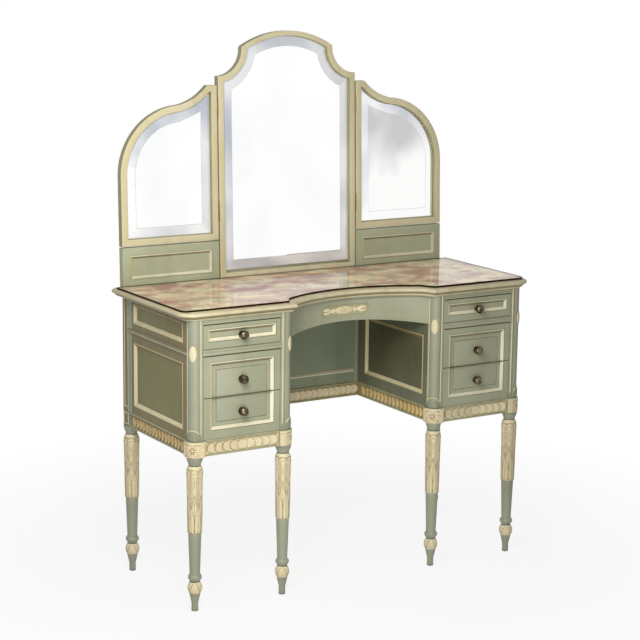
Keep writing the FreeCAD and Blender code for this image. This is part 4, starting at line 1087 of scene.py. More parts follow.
@dataclass
class Drawers:
    """Six drawer fronts with sunk fields, and their knobs."""
    thick: float = 18.0
    gap: float = 1.0
    petals: int = 12

    def front(self, row: Row, side: Side) -> Object:
        """A front: flat margin, sloped cream moulding and sunk field; the lower two have a raised panel in it."""
        low, height, margin, over, under, _ = row.value
        sunk = 3.6 if row is Row.TOP else 4.6
        # The dark rings at the foot of the slope and round the raised panel are painted shadow lines.
        rings = [(-1.6, 0.0, SHADOWED), (-1.2, -0.5, PLAIN), (-0.5, 0.1, PLAIN), (0.0, 0.9, RIDGE), (1.0, 1.5, RIDGE),
                 (1.8, 1.3, SLOPE), (7.8, -sunk + 0.4, SHADOWED), (8.3, -sunk, PLAIN)]
        rings += [(12.0, -sunk, PLAIN)] if row is Row.TOP else [
            (18.2, -sunk, SHADOWED), (19.0, -sunk - 0.2, PLAIN), (19.8, -3.0, PLAIN), (21.2, -2.5, PLAIN)]
        # The rim's foot and head and a strip along the margin's head are painted shadow lines, where a rail
        # overhangs or two fronts meet.
        steps: list[Step] = [
            (0, 0, 0, -self.thick, PLAIN), (0, 0, 0, -0.5, (SHADOW_LINE, GROUND, SHADOW_LINE, GROUND)),
            (0.4, 0.3, 0.3, 0.0, (GROUND, GROUND, SHADOW_LINE, GROUND)), (0.5, 0.4, 2.2 if over else 0.9, 0.0, PLAIN)]
        for k, (inset, rise, slots) in enumerate(rings):
            steps.append((margin + inset, under + inset if under else 0.41 + 0.01 * k,
                          over + inset if over else 0.91 + 0.01 * k, rise,
                          (slots[0] if under else GROUND, slots[1], slots[2] if over else GROUND, slots[3])))
        form = Form()
        left = S.bay_in if side is Side.RIGHT else -S.bay_out
        fielded(form, FRONT, (left + self.gap, low, left + S.bay_out - S.bay_in - self.gap, low + height), steps)
        return form.piece(f"drawer_{side.word}_{row.word}_front", (SAGE, *TRIM))

    def knob(self, row: Row, side: Side, petal: Object) -> Object:
        """A turned ball knob over a ring of petals, with its shank and nut behind."""
        form = Form()
        back = -3.8 if row is Row.TOP else -2.7
        ball = ((0.0, back), (9.2, back), (9.4, 0.6), (9.0, 1.1), (6.6, 1.3), (5.6, 2.1), (5.2, 2.4), (4.5, 3.0),
                (4.3, 4.0), (4.9, 5.0), (7.4, 5.7), (9.7, 7.4), (11.1, 9.8), (11.45, 11.6), (11.1, 13.5),
                (9.9, 15.6), (7.8, 17.3), (5.0, 18.5), (2.4, 18.95), (0.0, 19.0))
        shank = ((0.0, -21.0), (2.2, -21.0), (2.5, -20.6), (2.5, 0.2), (0.0, 0.2))
        nut = ((2.55, -18.0), (4.0, -18.0), (4.0, -21.0), (2.55, -21.0), (2.55, -18.0))
        for profile, steps in ((ball, 36), (shank, 16), (nut, 6)):
            lathe(form, profile, steps)
        solid = form.piece("knob_turning", (BRONZE,))
        ring = repeated(petal, self.petals, 0.0, tau / self.petals, BRONZE)
        place = mirrored(side) @ on_plane(FRONT, S.bay_mid, row.knob_z)
        knob = gathered(f"drawer_{side.word}_{row.word}_pull", [(solid.data, place), (ring, place)])
        bpy.data.objects.remove(solid)
        bpy.data.meshes.remove(ring)
        return knob

    def petal(self) -> Object:
        """One petal of a knob's plate, pointing along X."""
        form = Form()
        rows = []
        for i in range(7):
            t = i / 6
            x, half = 6.0 + 4.9 * t, 1.45 * sqrt(max(1 - (2 * t - 1.0) ** 4, 0.02))
            rows.append([Vector((x, half * cos(a), 0.2 + 1.6 * sin(a) * (1 - 0.45 * t)))
                         for a in (pi * k / 6 for k in range(7))])
        numbers = form.net(rows)
        form.face(numbers[0])
        form.face(numbers[-1])
        form.face([row[0] for row in numbers] + [row[-1] for row in reversed(numbers)])
        return form.piece("knob_petal", (BRONZE,))

    def build(self) -> None:
        """Make and fix the fronts and knobs."""
        petal = self.petal()
        for side in Side:
            for row in Row:
                body = f"drawer_{side.word}_{row.word}"
                ride(self.front(row, side), "sage_paint", f"drawer_front_{side.word}_{row.word}", body=body)
                ride(self.knob(row, side, petal), "knob_bronze", f"drawer_knob_{side.word}_{row.word}", body=body)
        bpy.data.objects.remove(petal)


@dataclass(frozen=True)
class Drum:
    """A round upright face; across runs along the curve, and rise away from the axis."""
    x: float
    y: float
    radius: float
    facing: float = -pi / 4

    def at(self, across: float, z: float, rise: float = 0.0) -> Vector:
        """Place of a point in the room."""
        angle = self.facing + across / self.radius
        reach = self.radius + rise
        return Vector((self.x + reach * cos(angle), self.y + reach * sin(angle), z))


@dataclass(frozen=True)
class Bay:
    """The hollow face of the apron; across runs along the curve, and rise towards the sitter."""
    radius: float = S.apron_radius
    centre: float = S.bay_centre

    def at(self, across: float, z: float, rise: float = 0.0) -> Vector:
        """Place of a point in the room."""
        angle, reach = across / self.radius, self.radius - rise
        return Vector((reach * sin(angle), self.centre + reach * cos(angle), z))


Face = Plane | Drum | Bay


def boss(form: Form, face: Face, x: float, z: float, half: float, tall: float, height: float,
         carve: Carve = lambda share, angle: (0.0, 0.0),
         rings: int = 10, steps: int = 36, base: float = -0.5) -> None:
    """Add a domed oval to a face.

    Args:
        form: Form that takes it.
        face: The face.
        x: Middle, across.
        z: Middle, up.
        half: Half width.
        tall: Half height.
        height: Rise at the middle.
        carve: Extra rise and depth of carving for a share of the radius and an angle.
        rings: Number of rings.
        steps: Points in a ring.
        base: Rise of the underside.
    """
    rows, carved = [], []
    for i in range(rings + 2):
        share = min(i / rings, 1.0)
        row, marks = [], []
        for angle in turns(steps):
            extra, mark = carve(share, angle) if i <= rings else (0.0, 0.0)
            rise = base if i > rings else max(height * sqrt(1 - share ** 2.4) + extra, base)
            row.append(face.at(x + half * share * cos(angle), z + tall * share * sin(angle), rise))
            marks.append(mark)
        rows.append(row)
        carved.append(marks)
    numbers = form.net(rows, around=True, carved=carved)
    form.face(list(reversed(numbers[-1])))


def relief(form: Form, face: Face, across: Pair, up: Pair, counts: tuple[int, int],
           shape: Carve) -> None:
    """Add a carved skin to a face.

    Args:
        form: Form that takes it.
        face: The face.
        across: Its two ends across.
        up: Its foot and head.
        counts: Steps across and up.
        shape: Rise and depth of carving at a place.
    """
    wide, high = counts
    base, thin = -0.6, 0.05
    front, back, carved = [], [], []
    for i in range(high + 1):
        z = up[0] + (up[1] - up[0]) * i / high
        row, behind, marks = [], [], []
        for j in range(wide + 1):
            x = across[0] + (across[1] - across[0]) * j / wide
            rim = i in (0, high) or j in (0, wide)
            rise, mark = (base, 0.0) if rim else shape(x, z)
            row.append(face.at(x, z, base if rim else max(rise, base + thin)))
            behind.append(face.at(x, z, base if rim else base - thin))
            marks.append(mark)
        front.append(row)
        back.append(behind)
        carved.append(marks)
    form.net(front, carved=carved)
    form.net(back)


@dataclass
class Posts:
    """Beads, cups, ovals and carved blocks of the front posts, and the lines on the rear ones."""
    bead: float = 2.2
    bead_places: tuple[Pair, Pair] = ((-10.2, -13.4), (13.4, 9.4))
    bead_foot: float = 14.0
    rear_bead: float = 3.0
    column: float = 16.5
    cup_half: float = 15.0
    cup_side: float = 16.0
    cup_arch: float = 12.0
    cup_bead: float = 1.7
    block: float = 28.5
    block_half: float = 37.0
    shift: float = 6.0
    oval_z: float = 655.0
    oval: Triple = (10.5, 19.5, 2.4)
    line_ends: Pair = (446.0, 741.0)
    line_across: Pair = (152.0, 172.0)
    rear_field: tuple[float, float, float, float] = (150.0, 399.5, 178.5, 432.0)
    strip_in: float = 6.0

    def axes(self) -> list[Matrix]:
        """Moves from the right outer post to all four front posts."""
        swap = Matrix.Translation((2 * S.bay_mid, 0, 0)) @ mirrored(Side.LEFT)
        return [move @ other for move in (mirrored(Side.RIGHT), mirrored(Side.LEFT))
                for other in (Matrix.Identity(4), swap)]

    def rod(self, radius: float, low: float, high: float) -> Form:
        """An upright round bead with domed ends."""
        form = Form()
        cap = [(radius * sin(a), -radius * cos(a)) for a in (pi / 2 * t for t in shares(5))]
        rows = [(r, low + radius + z) for r, z in cap] + [(r, high - radius - z) for r, z in reversed(cap)]
        lathe(form, rows, 16)
        return form

    def beads(self) -> Object:
        """Two round beads beside each column, from the cup up."""
        places = [Matrix.Translation((S.leg_outer + x, S.axis_y + y, 0)) for x, y in self.bead_places]
        return self.rod(self.bead, S.band_top + self.bead_foot, S.case_top).piece(
            "post_beads", (NOSE,), moves=[move @ place for move in self.axes() for place in places])

    def ovals(self) -> Object:
        """A domed oval on each column."""
        form = Form()
        boss(form, Drum(S.leg_outer, S.axis_y, self.column), 0, self.oval_z, *self.oval)
        return form.piece("column_ovals", (FRAME,), moves=self.axes())

    def cups(self) -> tuple[Object, Object]:
        """A hatched cup at each column's foot, and the arched bead over it."""
        drum = Drum(S.leg_outer, S.axis_y, self.column)
        half, foot, size = self.cup_half, S.band_top, self.cup_bead

        def brim(x: float) -> float:
            """Height of the cup's brim."""
            return foot + self.cup_side + self.cup_arch * sqrt(max(1 - (x / (half + 0.3)) ** 2, 0))

        def swell(x: float, z: float) -> Pair:
            """Rise of the cup and the depth of its hatching."""
            if z > brim(x) - 0.3:
                return -0.6, 0.0
            share = (z - foot) / (brim(x) - foot)
            hatch = 0.25 * (2 + sin((x + z) * 1.5) + sin((x - z) * 1.5))
            return 2.2 * sqrt(max(1 - (2 * share - 1) ** 4, 0.0)) + 0.6 * hatch, 1.1 * (1 - hatch)

        cup, bead = Form(), Form()
        relief(cup, drum, (-half, half), (foot, foot + self.cup_side + self.cup_arch + 0.5), (56, 52), swell)
        path = [(x, brim(x) + 0.6) for x in (half * (1 - 2 * t) for t in shares(28))]
        ring = [(size * cos(angle), 0.9 + size * sin(angle)) for angle in turns(10)]
        moulding(bead, drum, path, ring, closed=False)
        return (cup.piece("column_cups", (SLATE,), moves=self.axes()),
                bead.piece("cup_beads", (NOSE,), moves=self.axes()))

    def blocks(self) -> Object:
        """A flower of slender leaves carved on each round block."""
        drum = Drum(S.leg_outer - self.shift, S.axis_y + self.shift, self.block)
        middle = (S.leg_top + S.band_top) / 2 - 1.5
        rings = ((0.0, 3.6, 20.0, 2.5, 1.7), (0.5, 8.5, 23.0, 2.2, 1.1))
        sector, border, button, head = tau / 8, 24.5, 3.0, 6.0
        inner_bar, outer_bar = 27.5, (30.5, 34.0)

        def flower(x: float, z: float) -> Pair:
            """Rise and depth of the carving: a head strip, upright bars at the sides, and the flower."""
            edge = abs(x)
            if z > S.band_top - head:
                return 1.5, 0.1
            if edge > border:
                barred = edge < inner_bar or outer_bar[0] < edge < outer_bar[1]
                return (1.3, 0.0) if barred else (0.2, 0.4)
            reach, angle = hypot(x, z - middle), atan2(z - middle, x)
            if reach < button:
                return 0.4 + 1.5 * sqrt(1 - (reach / 3.05) ** 2), 0.0
            rise, mark = 0.15, 0.9 - 0.55 * smooth(edge, 10.0, 22.0)
            for turn, near, far, wide, lift in rings:
                off = ((angle / sector + turn + 0.5) % 1 - 0.5) * sector * reach
                t = (reach - near) / (far - near)
                half = wide * (sin(pi * t ** 1.4) ** 0.7 + 0.1) if 0 < t < 1 else 0.0
                if abs(off) < half:
                    dome = sqrt(1 - (off / half) ** 2)
                    if lift * (0.45 + 0.55 * dome) > rise:
                        rise, mark = lift * (0.45 + 0.55 * dome), 0.35 * (1 - dome)
            return (max(rise, 0.9), min(mark, 0.2)) if z < S.leg_top + 3.5 else (rise, mark)

        form = Form()
        relief(form, drum, (-self.block_half, self.block_half), (S.leg_top + 0.4, S.band_top - 0.4), (132, 66),
               flower)
        return form.piece("carved_blocks", (CARVED,), moves=self.axes())

    def rear_lines(self) -> Object:
        """Cream lines on the outer faces of the rear posts: a bent one above, and a field on the block."""
        form = Form()
        section = ((0, -0.3), (0, 0.7), (0.9, 1.1), (2.2, 1.1), (3.0, 0.6), (3.0, -0.3))
        (near, far), (low, high) = self.line_across, self.line_ends
        moulding(form, RIGHT_SIDE, [(near, low), (far, low), (far, high)], section, closed=False)
        moulding(form, RIGHT_SIDE, rectangle(*self.rear_field), section)
        return form.piece("rear_post_lines", (CREAM,), moves=BOTH)

    def rear_strips(self) -> tuple[Object, Object]:
        """A flat strip on each side frame's rear stile, and the bead between it and the post."""
        form = Form()
        section = ((0.0, -0.3), (0.0, 0.8), (0.8, 1.3), (21.2, 1.3), (22.0, 0.8), (22.0, -0.3))
        across = S.rear_front + self.strip_in
        moulding(form, RIGHT_SIDE, [(across, S.band_top), (across, S.case_top - 9)], section, closed=False)
        place = Matrix.Translation((S.side_x + 0.4, S.rear_front + 4, 0))
        bead = self.rod(self.rear_bead, S.band_top, S.case_top - 8)
        return (form.piece("rear_stile_strips", (SLATE,), moves=BOTH),
                bead.piece("rear_post_beads", (SLATE,), moves=[move @ place for move in BOTH]))

    def build(self) -> None:
        """Make and fix the posts' pieces."""
        ride(self.beads(), "cream_paint")
        ride(self.ovals(), "cream_paint")
        cups, beads = self.cups()
        ride(cups, "sage_paint")
        ride(beads, "cream_paint")
        ride(self.blocks(), "cream_paint")
        ride(self.rear_lines(), "cream_paint")
        for thing in self.rear_strips():
            ride(thing, "sage_paint")


@dataclass
class Bands:
    """Rows of overlapping coins that lean on a middle one, along the bottom rails."""
    radius: float = 13.3
    pitch: float = 17.4
    middle: float = 416.0
    tilt: float = radians(11)
    stretch: float = 1.08
    middle_stretch: float = 1.2
    middle_lift: float = 0.5
    coin_lift: float = 1.2
    coin_squash: float = 0.98
    end_gap: float = 1.0
    block_gap: float = 25.0

    def coin(self, finish: Finish, lean: float, wide: float) -> Object:
        """One flat coin with a raised rim and a button in the middle.

        Args:
            finish: Its paint.
            lean: Tilt towards the next coin, in radians.
            wide: Stretch across.

        Returns:
            The shape, to be repeated.
        """
        form = Form()
        size = self.radius
        section = ((0.0, -1.6), (size, -1.6), (size, 0.4), (size - 0.6, 1.0), (size - 1.3, 1.4),
                   (size - 2.4, 1.4), (size - 3.2, 0.8), (size - 5.0, 1.1), (4.2, 1.15), (3.6, 0.9),
                   (2.8, 1.25), (1.4, 1.5), (0.0, 1.55))
        marks = ((size - 0.7, 0.85), (size - 1.5, 0.3), (size - 2.8, 0.05), (size - 3.5, 0.45),
                 (3.8, 0.15), (3.4, 0.45))
        lathe(form, section, 28)
        form.carved = [next((mark for least, mark in marks if hypot(x, y) > least), 0.0)
                       for x, y, _ in form.points]
        squash = Matrix.Diagonal((wide, self.coin_squash, 1, 1))
        move = Matrix.Translation((0, 0, self.coin_lift)) @ Matrix.Rotation(lean, 4, "Y") @ squash
        return form.piece("coin", (finish,), moves=[move])

    def band(self, name: str, plane: Plane, start: float, end: float, finish: Finish, both: bool,
             way: int = 0) -> None:
        """Coins and plain strips on one rail.

        Args:
            name: Name of the piece.
            plane: Outer face of the rail.
            start: First end, across.
            end: Last end, across.
            finish: Its paint.
            both: Whether the other half of the table has its mirror image.
            way: End that all the coins lean to, 1 for the last and -1 for the first; 0 for a middle coin that
                they lean on.
        """
        leaning, flat = self.coin(finish, self.tilt, self.stretch), self.coin(finish, 0.0, self.middle_stretch)
        middle = (start + end) / 2
        count = int((middle - start - self.radius) / self.pitch)
        pitch = (middle - start - self.radius - self.end_gap) / count
        row = repeated(leaning, count, pitch, 0.0, finish)
        first = start + self.radius + self.end_gap
        last, flip = 2 * middle - first, mirrored(Side.LEFT)
        strips = Form()
        upper = ((0, -0.4), (0, 0.6), (0.8, 2.0), (3.4, 2.4), (4.8, 1.4), (5.4, -0.4))
        lower = ((0, -0.4), (0, 1.2), (1.2, 1.9), (3.2, 1.7), (4.4, 0.7), (5.2, 0.4), (5.2, -0.4))
        for z, section in ((S.band_top - 5.8, upper), (S.leg_top + 0.6, lower)):
            moulding(strips, plane, [(start, z), (end, z)], section, closed=False, slot=1)
        bars = strips.piece("band_bars", (finish, EDGE_PAINT_AND_SHADE))
        parts = [(bars.data, Matrix.Identity(4))]
        up, down = on_plane(plane, first, self.middle), on_plane(plane, last, self.middle) @ flip
        if way:
            near = up if way > 0 else down
            parts += [(row, near), (row, near @ Matrix.Translation((count * pitch * MM, 0, 0)))]
        else:
            parts += [(flat.data, on_plane(plane, middle, self.middle, self.middle_lift)), (row, up), (row, down)]
        if both:
            parts += [(mesh, mirrored(Side.LEFT) @ move) for mesh, move in parts]
        ride(gathered(name, parts), "cream_paint")
        for helper in (leaning, flat, bars):
            bpy.data.objects.remove(helper)

    def build(self) -> None:
        """Make and fix the coins of every rail."""
        gap = self.block_gap
        self.band("front_band_coins", FRONT, S.leg_inner + gap, S.leg_outer - gap, CARVED, True)
        self.band("side_band_coins", RIGHT_SIDE, S.axis_y + gap, S.rear_front, GILT, True, 1)
        self.band("knee_band_coins", KNEE, -(S.rear_axis_y - 2), -S.axis_y - gap, GILT, True, -1)
        self.band("rear_band_coins", REAR_RAIL, -S.knee_x, S.knee_x, CARVED, False)


@dataclass
class Panels:
    """Cream mouldings round the sunk panels, and the moulded rail over the lower drawers."""
    upper: Pair = (675.0, 725.0)
    lower: Pair = (458.0, 624.0)
    stile: float = 20.0
    rear_stile: float = 29.0
    knee: Pair = (466.0, 624.0)
    rail: float = 647.0
    eave: float = 725.2
    corner: float = 38.0
    rail_lap: float = 3.0
    back_gap: float = 12.0

    def build(self) -> None:
        """Make and fix the mouldings."""
        slope = ((-0.9, -0.5), (-0.8, 0.7), (0.2, 1.3), (1.6, 1.2), (2.6, 0.4), (8.4, -4.2), (9.2, -4.9),
                 (-0.9, -5.2))
        finishes = (FRAME, OCHRE, SIDE)
        cream, ochre, green = range(3)
        # The slopes' head and one side take the olive side paint as painted shade; the foot and the other side
        # stay cream.
        by_side = (ochre, ochre, ochre, -1, -1, -1, -1, ochre)
        left, right, rear = S.post_back + self.stile, S.rear_front - self.rear_stile, S.rear_axis_y - self.corner
        sides, knees, field = Form(), Form(), Form()
        for low, high in (self.upper, self.lower):
            moulding(sides, RIGHT_SIDE, rectangle(left, low, right, high), slope, slots=by_side,
                     sides=(cream, cream, green, green))
        low, high = self.knee
        moulding(knees, KNEE, rectangle(-rear, low, -left, high), slope, slots=by_side,
                 sides=(cream, green, green, cream))
        # The kneehole panels' fields are painted darker than the side panels, as painted shade.
        fielded(field, KNEE, (-rear, low, -left, high), [
            (inset, inset, inset, rise, PLAIN) for inset, rise in ((8.4, -5.3), (8.4, -4.75), (8.6, -4.65))])
        ride(field.piece("knee_panel_fields", (KNEE_PANEL_SHADE,), moves=BOTH), "sage_paint")
        ride(sides.piece("side_panel_mouldings", finishes, moves=BOTH), "cream_paint")
        ride(knees.piece("knee_panel_mouldings", finishes, moves=BOTH), "cream_paint")
        self.rails()
        foot = Form()
        strip = ((-1.0, -0.5), (-0.9, 0.8), (0.6, 1.5), (2.4, 1.0), (7.0, -4.3), (7.0, -4.95), (-1.0, -4.95))
        half = S.knee_x - self.back_gap
        moulding(foot, KNEE_BACK, [(-half, low), (half, low)], strip, closed=False)
        ride(foot.piece("knee_back_strip", (CREAM,)), "cream_paint")

    def rails(self) -> None:
        """Moulded rails over the lower drawers, the same rail along the sides, and the eave under the top."""
        form = Form()
        lip = ((0.0, -0.4), (0.2, 2.2), (1.2, 3.0), (5.6, 2.7), (7.4, 2.0), (8.4, 2.2), (9.4, 3.3), (12.2, 3.7),
               (14.0, 2.8), (14.8, 0.8), (14.8, -0.4))
        eave = ((0.0, -0.4), (0.0, 1.7), (0.9, 2.3), (3.2, 1.8), (4.6, 0.4), (4.6, -0.4))
        flank = ((0.0, -0.4), (0.0, 0.5), (1.0, 0.6), (1.2, 3.0), (2.4, 4.4), (5.4, 4.8), (7.6, 4.0), (8.6, 2.2),
                 (9.6, 2.0), (12.4, 1.2), (13.4, 0.6), (14.8, 0.5), (14.8, -0.4))
        sage, side, shade = range(3)
        for z, section in ((self.rail, lip), (self.eave, eave)):
            moulding(form, FRONT, [(S.bay_in - self.rail_lap, z), (S.bay_out + self.rail_lap, z)], section,
                     closed=False)
        # Along the flank only the middle bump has the sage paint, as a painted highlight; the rest has the darker
        # side paint as painted shade, and two rows are painted shadow lines.
        moulding(form, RIGHT_SIDE, [(S.post_back - self.rail_lap, self.rail), (S.rear_front, self.rail)], flank,
                 closed=False, slots=(side, shade, *(side,) * 2, *(sage,) * 2, *(side,) * 4, shade, *(side,) * 2))
        ride(form.piece("moulded_rails", (SAGE, SIDE, SHADE), moves=BOTH), "sage_paint")


@dataclass
class Legs:
    """Turned legs with a leaf-carved sleeve and bulb.

    Each arch on the sleeve is a share of the half leaf's width, a distance below the sleeve's head, and a depth.
    """
    steps: int = 96
    leaves: int = 6
    foot: float = 4.0
    foot_radius: float = 8.5
    foot_top: float = 22.0
    bulb: Pair = (48.0, 75.0)
    bulb_radius: float = 14.3
    shaft: Pair = (97.0, 202.4)
    shaft_radius: float = 13.0
    sleeve: Pair = (202.9, 366.0)
    sleeve_radius: float = 18.0
    split: float = 280.0
    arches: tuple[Triple, ...] = ((0.93, 1.0, 1.0), (0.64, 9.0, 1.0), (0.36, 19.0, 0.8))
    neck: float = 15.0
    tenon: float = 10.0
    tenon_top: float = 426.0

    def profile(self) -> list[tuple[float, float, int]]:
        """Radius, height and finish number up the leg."""
        plain, leafy, shadow = range(3)
        foot, top, radius = self.foot, self.foot_top, self.foot_radius
        rows = [(0.0, foot, plain), (radius - 0.1, foot, plain), (radius, foot + 0.4, plain),
                (radius, top, plain)]
        low, high = self.bulb
        rows += [(radius + 6.0 * t, top + (low - top) * t, plain) for t in shares(6, 1)[:-1]]
        radius = self.bulb_radius
        rows += [(radius, low, leafy)]
        rows += [(radius + 4.3 * sin(pi * t) ** 0.9 - 0.3 * t, low + (high - low) * t, leafy)
                 for t in shares(32, 1)]
        rows += [(12.6, 76.2, shadow), (12.4, 78.5, plain), (13.2, 80.6, plain)]
        rows += [(14.4 + 3.0 * sin(pi * t), 81 + 14 * t, plain) for t in shares(10)]
        rows += [(13.1, 95.6, plain)]
        low, high = self.shaft
        rows += [(self.shaft_radius + 3.4 * t, low + (high - low) * t, plain) for t in shares(8)]
        low, high = self.sleeve
        rows += [(self.sleeve_radius + 3.0 * t, low + (high - low) * t, leafy) for t in shares(130)]
        rows += [(19.2, 367.4, leafy), (18.5, 369.0, leafy), (17.6, 370.6, leafy), (16.6, 372.2, leafy),
                 (15.6, 373.8, shadow), (self.neck, 375.0, shadow), (self.neck, 376.0, plain)]
        rows += [(self.neck + 5.4 * sin(pi / 2 * t) ** 1.1, 376.4 + 19.6 * t, plain) for t in shares(12)]
        return rows + [(self.tenon, S.leg_top, plain), (self.tenon, self.tenon_top, plain),
                       (0.0, self.tenon_top, plain)]

    def cut(self, radius: float, z: float, angle: float) -> Pair:
        """Change of radius and depth of carving at a place on the leg.

        Args:
            radius: Plain radius.
            z: Height.
            angle: Place round the leg.

        Returns:
            The change, inwards as a minus, and the depth of carving from 0 to 1.
        """
        sector = tau / self.leaves
        low, high = self.bulb
        if low < z < high:
            share = (z - low) / (high - low)
            edge = sin(pi * share)
            leaf = abs(((angle * 3 / pi) % 2) - 1) - 0.75 * share
            groove = exp(-(leaf / 0.13) ** 2) + 0.6 * exp(-(sin(angle * 3) / 0.2) ** 2)
            return -1.1 * edge * min(groove, 1.0), min(groove, 1.0) * 0.7
        low, high = self.sleeve
        if not low <= z <= high:
            return 0.0, 0.0
        width = radius * sector / 2
        near = ((angle + sector / 2) % sector - sector / 2) * radius
        apart = (angle % sector - sector / 2) * radius

        def arch(half: float, top: float) -> float:
            """Distance outside an arch about the nearest axis."""
            taper = 1.2
            return hypot(near, max(z - (top - half * taper), 0.0) / taper) - half

        change, mark = -1.4 * smooth(z, high - 11.0, high + 2.0) ** 2, 0.0
        for share, below, deep in self.arches:
            groove = exp(-(arch(share * width, high - below) / 0.95) ** 2)
            change, mark = change - deep * groove, max(mark, deep * groove)
        share, below, _ = self.arches[0]
        if arch(share * width, high - below) > 0:
            change, mark = change - 0.5, max(mark, 0.7)
        slit = exp(-(near / 1.1) ** 2) * smooth(z, 310, 320) * (1 - smooth(z, 338, 346))
        spine = exp(-(near / 0.8) ** 2) * (1 - smooth(z, 300, 312))
        change, mark = change - 0.9 * slit + 0.3 * spine, max(mark, slit)
        for place, tip, lift in ((near, self.split + 24, 0.0), (apart, self.split - 4, 0.2)):
            t = (z - low) / (tip - low)
            if t >= 1:
                continue
            leaf = 0.98 * width * sin(pi * (0.3 + 0.7 * t)) ** 0.8
            if abs(place) < leaf:
                vein = cos((z * 0.8 + abs(place) * 1.5) * 1.3)
                rim = smooth(abs(place), leaf - 2.0, leaf - 0.3)
                crease = exp(-place ** 2)
                change = lift - 0.45 * (place / width) ** 2 + 0.22 * vein - 0.5 * crease - 0.6 * rim
                mark = 0.95 * rim + 0.5 * max(-vein, 0) + 0.7 * crease
        scallop = abs(sin(angle * self.leaves))
        if z < low + 5.5 * (1 - scallop):
            return -1.8, 0.8
        return change, mark

    def build(self) -> None:
        """Make and fix the six legs."""
        form = Form()
        rows, carved = [], []
        sections = self.profile()
        for radius, z, _ in sections:
            row, marks = [], []
            for angle in turns(self.steps):
                change, mark = self.cut(radius, z, angle) if radius else (0.0, 0.0)
                reach = max(radius + change, 0.0)
                row.append(Vector((reach * cos(angle), reach * sin(angle), z)))
                marks.append(mark)
            rows.append(row)
            carved.append(marks)
        form.net(rows, around=True, carved=carved, slots=lambda i, j: sections[i][2])
        outer, inner = S.leg_outer, S.leg_inner
        for word, x, y in (("front_outer_left", -outer, S.axis_y), ("front_inner_left", -inner, S.axis_y),
                           ("front_inner_right", inner, S.axis_y), ("front_outer_right", outer, S.axis_y),
                           ("rear_left", -outer, S.rear_axis_y), ("rear_right", outer, S.rear_axis_y)):
            leg = form.piece(f"carved_leg_{word}", (SLATE, LEAFAGE, SHADE), sharp=40,
                             moves=[Matrix.Translation((x, y, 0))])
            ride(leg, "cream_paint", f"leg_{word}")


@dataclass
class Apron:
    """The hollow apron's arched lip, cartouche rim and carved ornament."""
    arch_end: float = 659.0
    rise: float = 16.0
    half: float = 74.0
    tall: float = 15.0
    sunk: float = 2.5
    rim: float = 0.9
    flower: Triple = (27.0, 10.5, 3.4)
    bud: Triple = (13.5, 8.6, 3.4)
    bud_place: float = 53.5
    pearls: tuple[Pair, Pair] = ((31.0, 4.6), (38.0, 3.6))
    pearl_rise: float = 3.0

    def arch(self, x: float) -> float:
        """Height of the arch at a distance from the middle."""
        radius = (S.knee_x ** 2 + self.rise ** 2) / (2 * self.rise)
        return self.arch_end + self.rise - radius + sqrt(radius ** 2 - x ** 2)

    def along(self, x: float) -> float:
        """Distance along the bay's curve."""
        return S.apron_radius * asin(x / S.apron_radius)

    def build(self) -> None:
        """Make and fix the apron's pieces."""
        bay = Bay()
        lip, rim, carving = Form(), Form(), Form()
        xs = [-S.knee_x + 0.5 + (2 * S.knee_x - 1) * i / 60 for i in range(61)]
        section = ((0.0, -0.5), (0.0, 1.6), (1.4, 2.3), (3.2, 2.1), (5.0, 0.9), (6.0, -0.5))
        moulding(lip, bay, [(self.along(x), self.arch(x)) for x in xs], section, closed=False)
        ride(lip.piece("apron_lip", (SAGE,)), "sage_paint")
        straight, z = self.half - self.tall, S.cartouche_z
        low, high, bend = z - self.tall, z + self.tall, self.tall + 0.01
        path = trace((-straight, low), (
            ((straight, low), 24), ((straight, high), 14, bend, 1), ((-straight, high), 24),
            ((-straight, low), 14, bend, 1)))[1:]
        edge = ((-2.2, -0.4), (-2.1, 0.3), (-1.4, 0.8), (-0.4, 0.8), (0.6, 0.1), (1.8, -2.2), (1.8, -2.9),
                (-2.2, -2.9))
        moulding(rim, bay, [(self.along(x), h) for x, h in path], edge)
        ride(rim.piece("cartouche_rim", (SAGE,)), "sage_paint")
        field = Form()
        ends = [self.half * sin(pi / 2 * i / 40) for i in range(-40, 41)]
        outline = [(up, 0.25) for up in (-1, -0.5, 0, 0.5, 1)] + [(up, -0.3) for up in (1, 0, -1)]
        rows = []
        for x in ends:
            tall = sqrt(max((self.tall - self.rim) ** 2 - max(abs(x) - straight, 0.0) ** 2, 0.01))
            rows.append([bay.at(self.along(x), z + tall * up, rise - self.sunk) for up, rise in outline])
        numbers = field.net(rows, around=True)
        field.face(numbers[0])
        field.face(list(reversed(numbers[-1])))
        ride(field.piece("cartouche_field", (EDGE_PAINT_AND_SHADE,)), "sage_paint")
        base = -self.sunk - 0.4

        def reeds(share: float, angle: float) -> Pair:
            """Reeded oval."""
            place = share * sin(angle)
            groove = abs(sin(place * 8.5))
            return -0.9 * (1 - groove) ** 2 - self.sunk, 0.9 * (1 - groove) ** 2

        def bud(sign: int) -> Carve:
            """Two-lobed bud, slit towards its tip."""
            def carve(share: float, angle: float) -> Pair:
                """Rise and depth at a place of the bud."""
                x, y = share * cos(angle) * sign, share * sin(angle)
                slit = exp(-(y / (0.13 + 0.1 * x)) ** 2) if x > -0.35 else 0.0
                return -2.2 * slit - self.sunk, slit
            return carve

        boss(carving, bay, 0, z, *self.flower, reeds, 14, 72, base)
        for sign in (-1, 1):
            for place, size in self.pearls:
                boss(carving, bay, sign * place, z, size * 0.8, size * 1.5, self.pearl_rise,
                     lambda share, angle: (-self.sunk, 0.0), 8, 24, base)
            boss(carving, bay, sign * self.bud_place, z, *self.bud, bud(sign), 14, 56, base)
        ride(carving.piece("apron_carving", (CARVED,)), "cream_paint", "apron_ornament")


